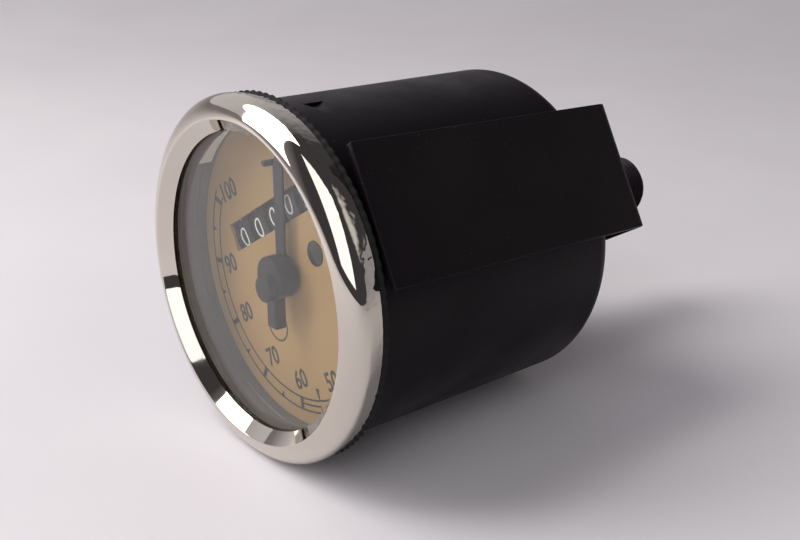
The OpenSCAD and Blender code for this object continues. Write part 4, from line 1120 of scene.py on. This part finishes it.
digit_shapes = [figures(str(k), DIGIT_H, 1.0, DIGIT_WEIGHT, cuts=7) for k in range(10)]
for drum, digit_now in enumerate(SHOWN_DIGIT, start=1):
    band = [wrapped_digit(digit_shapes[k], drum, k - digit_now) for k in range(10)]
    add_piece(f"drum_{drum}_digits", band, f"drum_{drum}", white_paint)

# %% [markdown]
# ## Needle
# The needle is a stamped blade with a thick counterweight bar for a tail, pressed onto the arbor under a
# moulded cap that has a smaller boss to one side. A plate is an outline carried through its thickness,
# drawn in a little at both faces so that its edges are eased. Hub, cap and boss are turned.

# %% Needle paint
# Black cellulose paint: smooth satin with fine dust.
needle_paint = two_tone("satin_black_cellulose", "#0C0C0D", "#1B1A1B", {"Specular IOR Level": 0.25},
                        cell=0.5, detail=2.0, rough=(0.36, 0.48))

# %% Needle and cap
NEEDLE_AT = math.radians(59.5)
NEEDLE_FRONT, NEEDLE_BACK, NEEDLE_EASE = 2.0, 2.6, 0.1
NEEDLE_W, NEEDLE_TIP, TIP_TAPER = 3.4, 26.8, 2.4
TAIL_START, TAIL_END = 4.6, 11.6
TAIL_FRONT, TAIL_BACK, TAIL_EASE = -0.8, 1.9, 0.2
HUB_R, HUB_BACK = 4.8, 3.5
CAP_R, CAP_FRONT, CAP_CROWN = 4.8, -1.2, 0.1
BOSS_AT, BOSS_R, BOSS_FRONT, BOSS_BACK = 2.1, 3.0, -2.9, 0.4


def plate(outline, front, back, ease):
    """An outline (x, z) carried through four depths; at both faces it is moved in along its normals."""
    along = np.roll(outline, -1, 0) - np.roll(outline, 1, 0)
    out = np.stack([along[:, 1], -along[:, 0]], 1) / np.linalg.norm(along, axis=1, keepdims=True)
    rows = [(front, ease), (front + ease, 0), (back - ease, 0), (back, ease)]
    grid = [np.insert(outline - out * drawn_in, 1, depth, axis=1) for depth, drawn_in in rows]
    return skin(np.array(grid), capped=True)


def at_needle(flat):
    """Points (along, across) of the needle turned to zero on the scale."""
    cos, sin = math.cos(NEEDLE_AT), math.sin(NEEDLE_AT)
    return np.stack([flat[:, 0] * cos - flat[:, 1] * sin, flat[:, 0] * sin + flat[:, 1] * cos], 1)


half, taper_from = NEEDLE_W / 2, NEEDLE_TIP - TIP_TAPER
blade = rounded([(0, -half, 0), (taper_from, -half, 0.5), (NEEDLE_TIP, -half / 3, 0.3),
                 (NEEDLE_TIP, half / 3, 0.3), (taper_from, half, 0.5), (0, half, 0)])
tail = rounded([(-TAIL_END, -half, 0.25), (-TAIL_START, -half, 0), (-TAIL_START, half, 0),
                (-TAIL_END, half, 0.25)])
hub = rounded([(0, NEEDLE_FRONT, 0), (HUB_R, NEEDLE_FRONT, 0.1), (HUB_R, HUB_BACK, 0.3), (0, HUB_BACK, 0)],
              closed=False)
needle_shapes = [plate(at_needle(blade), NEEDLE_FRONT, NEEDLE_BACK, NEEDLE_EASE),
                 plate(at_needle(tail), TAIL_FRONT, TAIL_BACK, TAIL_EASE), turned(hub, 96)]
add_piece("needle_blade", needle_shapes, "needle", needle_paint, ["needle"])

boss_at = at_needle(np.array([[-BOSS_AT, 0]]))[0]
cap = rounded([(0, CAP_FRONT, 0), (CAP_R, CAP_FRONT + CAP_CROWN, 0.5), (CAP_R, NEEDLE_FRONT, 0),
               (0, NEEDLE_FRONT, 0)], closed=False)
boss = rounded([(0, BOSS_FRONT, 0), (BOSS_R, BOSS_FRONT + CAP_CROWN, 0.4), (BOSS_R, BOSS_BACK, 0),
                (0, BOSS_BACK, 0)], closed=False)
cap_shapes = [turned(cap, 96), turned(boss, 64, at=boss_at)]
add_piece("needle_cap_moulded", cap_shapes, "needle", needle_paint, ["needle_cap"])

# %% [markdown]
# ## Stop pin and tell-tale
# A riveted pin beside the zero mark stops the needle at both ends of its swing, and a small dark lens
# lights up as a tell-tale. Both are turned profiles again, set off from the axis. A lens could be a
# squashed sphere, but a quarter of an ellipse for its crown leaves room for the rim that holds it behind
# the dial.

# %% Stop pin and tell-tale lens
PIN_R, PIN_AT, PIN_ANGLE, PIN_FRONT = 0.7, 24.6, 65.8, 0.2
PIN_LENGTH, PIN_HEAD_R, PIN_HEAD_T = 5.4, 1.2, 0.6
LENS_R, LENS_AT, LENS_CROWN = 2.8, (12.2, 1.2), 0.5
LENS_RIM_R, LENS_RIM_FROM, LENS_RIM_TO = 3.5, 5.0, 5.5

pin_back = PIN_FRONT + PIN_LENGTH
pin_head = pin_back - PIN_HEAD_T
pin = rounded([(0, PIN_FRONT, 0), (PIN_R, PIN_FRONT, 0.3), (PIN_R, pin_head, 0), (PIN_HEAD_R, pin_head, 0),
               (PIN_HEAD_R, pin_back, 0.2), (0, pin_back, 0)], closed=False)
pin_turned = turned(pin, 48, at=polar(PIN_AT, PIN_ANGLE))
add_piece("stop_pin_turned", [pin_turned], "housing", needle_paint, ["stop_pin"])

crown = np.linspace(0, np.pi / 2, 14)
lens_dome = np.stack([LENS_R * np.sin(crown), DIAL_FRONT - LENS_CROWN * np.cos(crown)], 1)
lens_back = np.array([(LENS_R, LENS_RIM_FROM), (LENS_RIM_R, LENS_RIM_FROM), (LENS_RIM_R, LENS_RIM_TO),
                      (0, LENS_RIM_TO)])
# Unlit moulded lens: deep green-grey acrylic with a soft gloss.
dark_lens = two_tone("dark_green_acrylic", "#0D110E", "#191F19",
                     {"Roughness": 0.2, "Specular IOR Level": 0.3}, cell=2, detail=3.0)
lens = turned(np.concatenate([lens_dome, lens_back]), 64, at=LENS_AT)
add_piece("tell_tale_dome", [lens], "housing", dark_lens, ["tell_tale_lens"])

# %% [markdown]
# ## Solids that stay
# Everything inside the can keeps its solid: worms, wheels, drums, plates and shafts already have their real
# shapes. Each takes the finish of its material slot in the record: turned steel and brass, cast zinc, spun
# aluminium, and the black drums.

# %% Finishes for the remaining solids
# Die-cast zinc: dull grey with the soft pebble of a casting.
cast_zinc = two_tone("cast_zinc", "#6F7174", "#8E9093", {"Metallic": 0.8, "Roughness": 0.55}, cell=0.8,
                     detail=4.0, relief=(0.3, 0.1))
kept_finish = {
    "steel": plated_steel,
    "brass": turned_metal("turned_brass", "#A8843F", "#CFAE63", 0.25, 0.42),
    "zinc": cast_zinc,
    "alloy": turned_metal("spun_aluminium", "#A9ABAD", "#CDCECF", 0.25, 0.4),
    "drum_black": drum_black,
    "black_rubber": rubber,
    "dial_gold": dial_lacquer,
}
kept = [part for part in frame["record"]["subparts"] if part["material_slot"] in kept_finish]
for part in kept:
    frame["nodes"][part["node"]].material_slots[0].material = kept_finish[part["material_slot"]]
print(len(kept), "solids finished by slot")
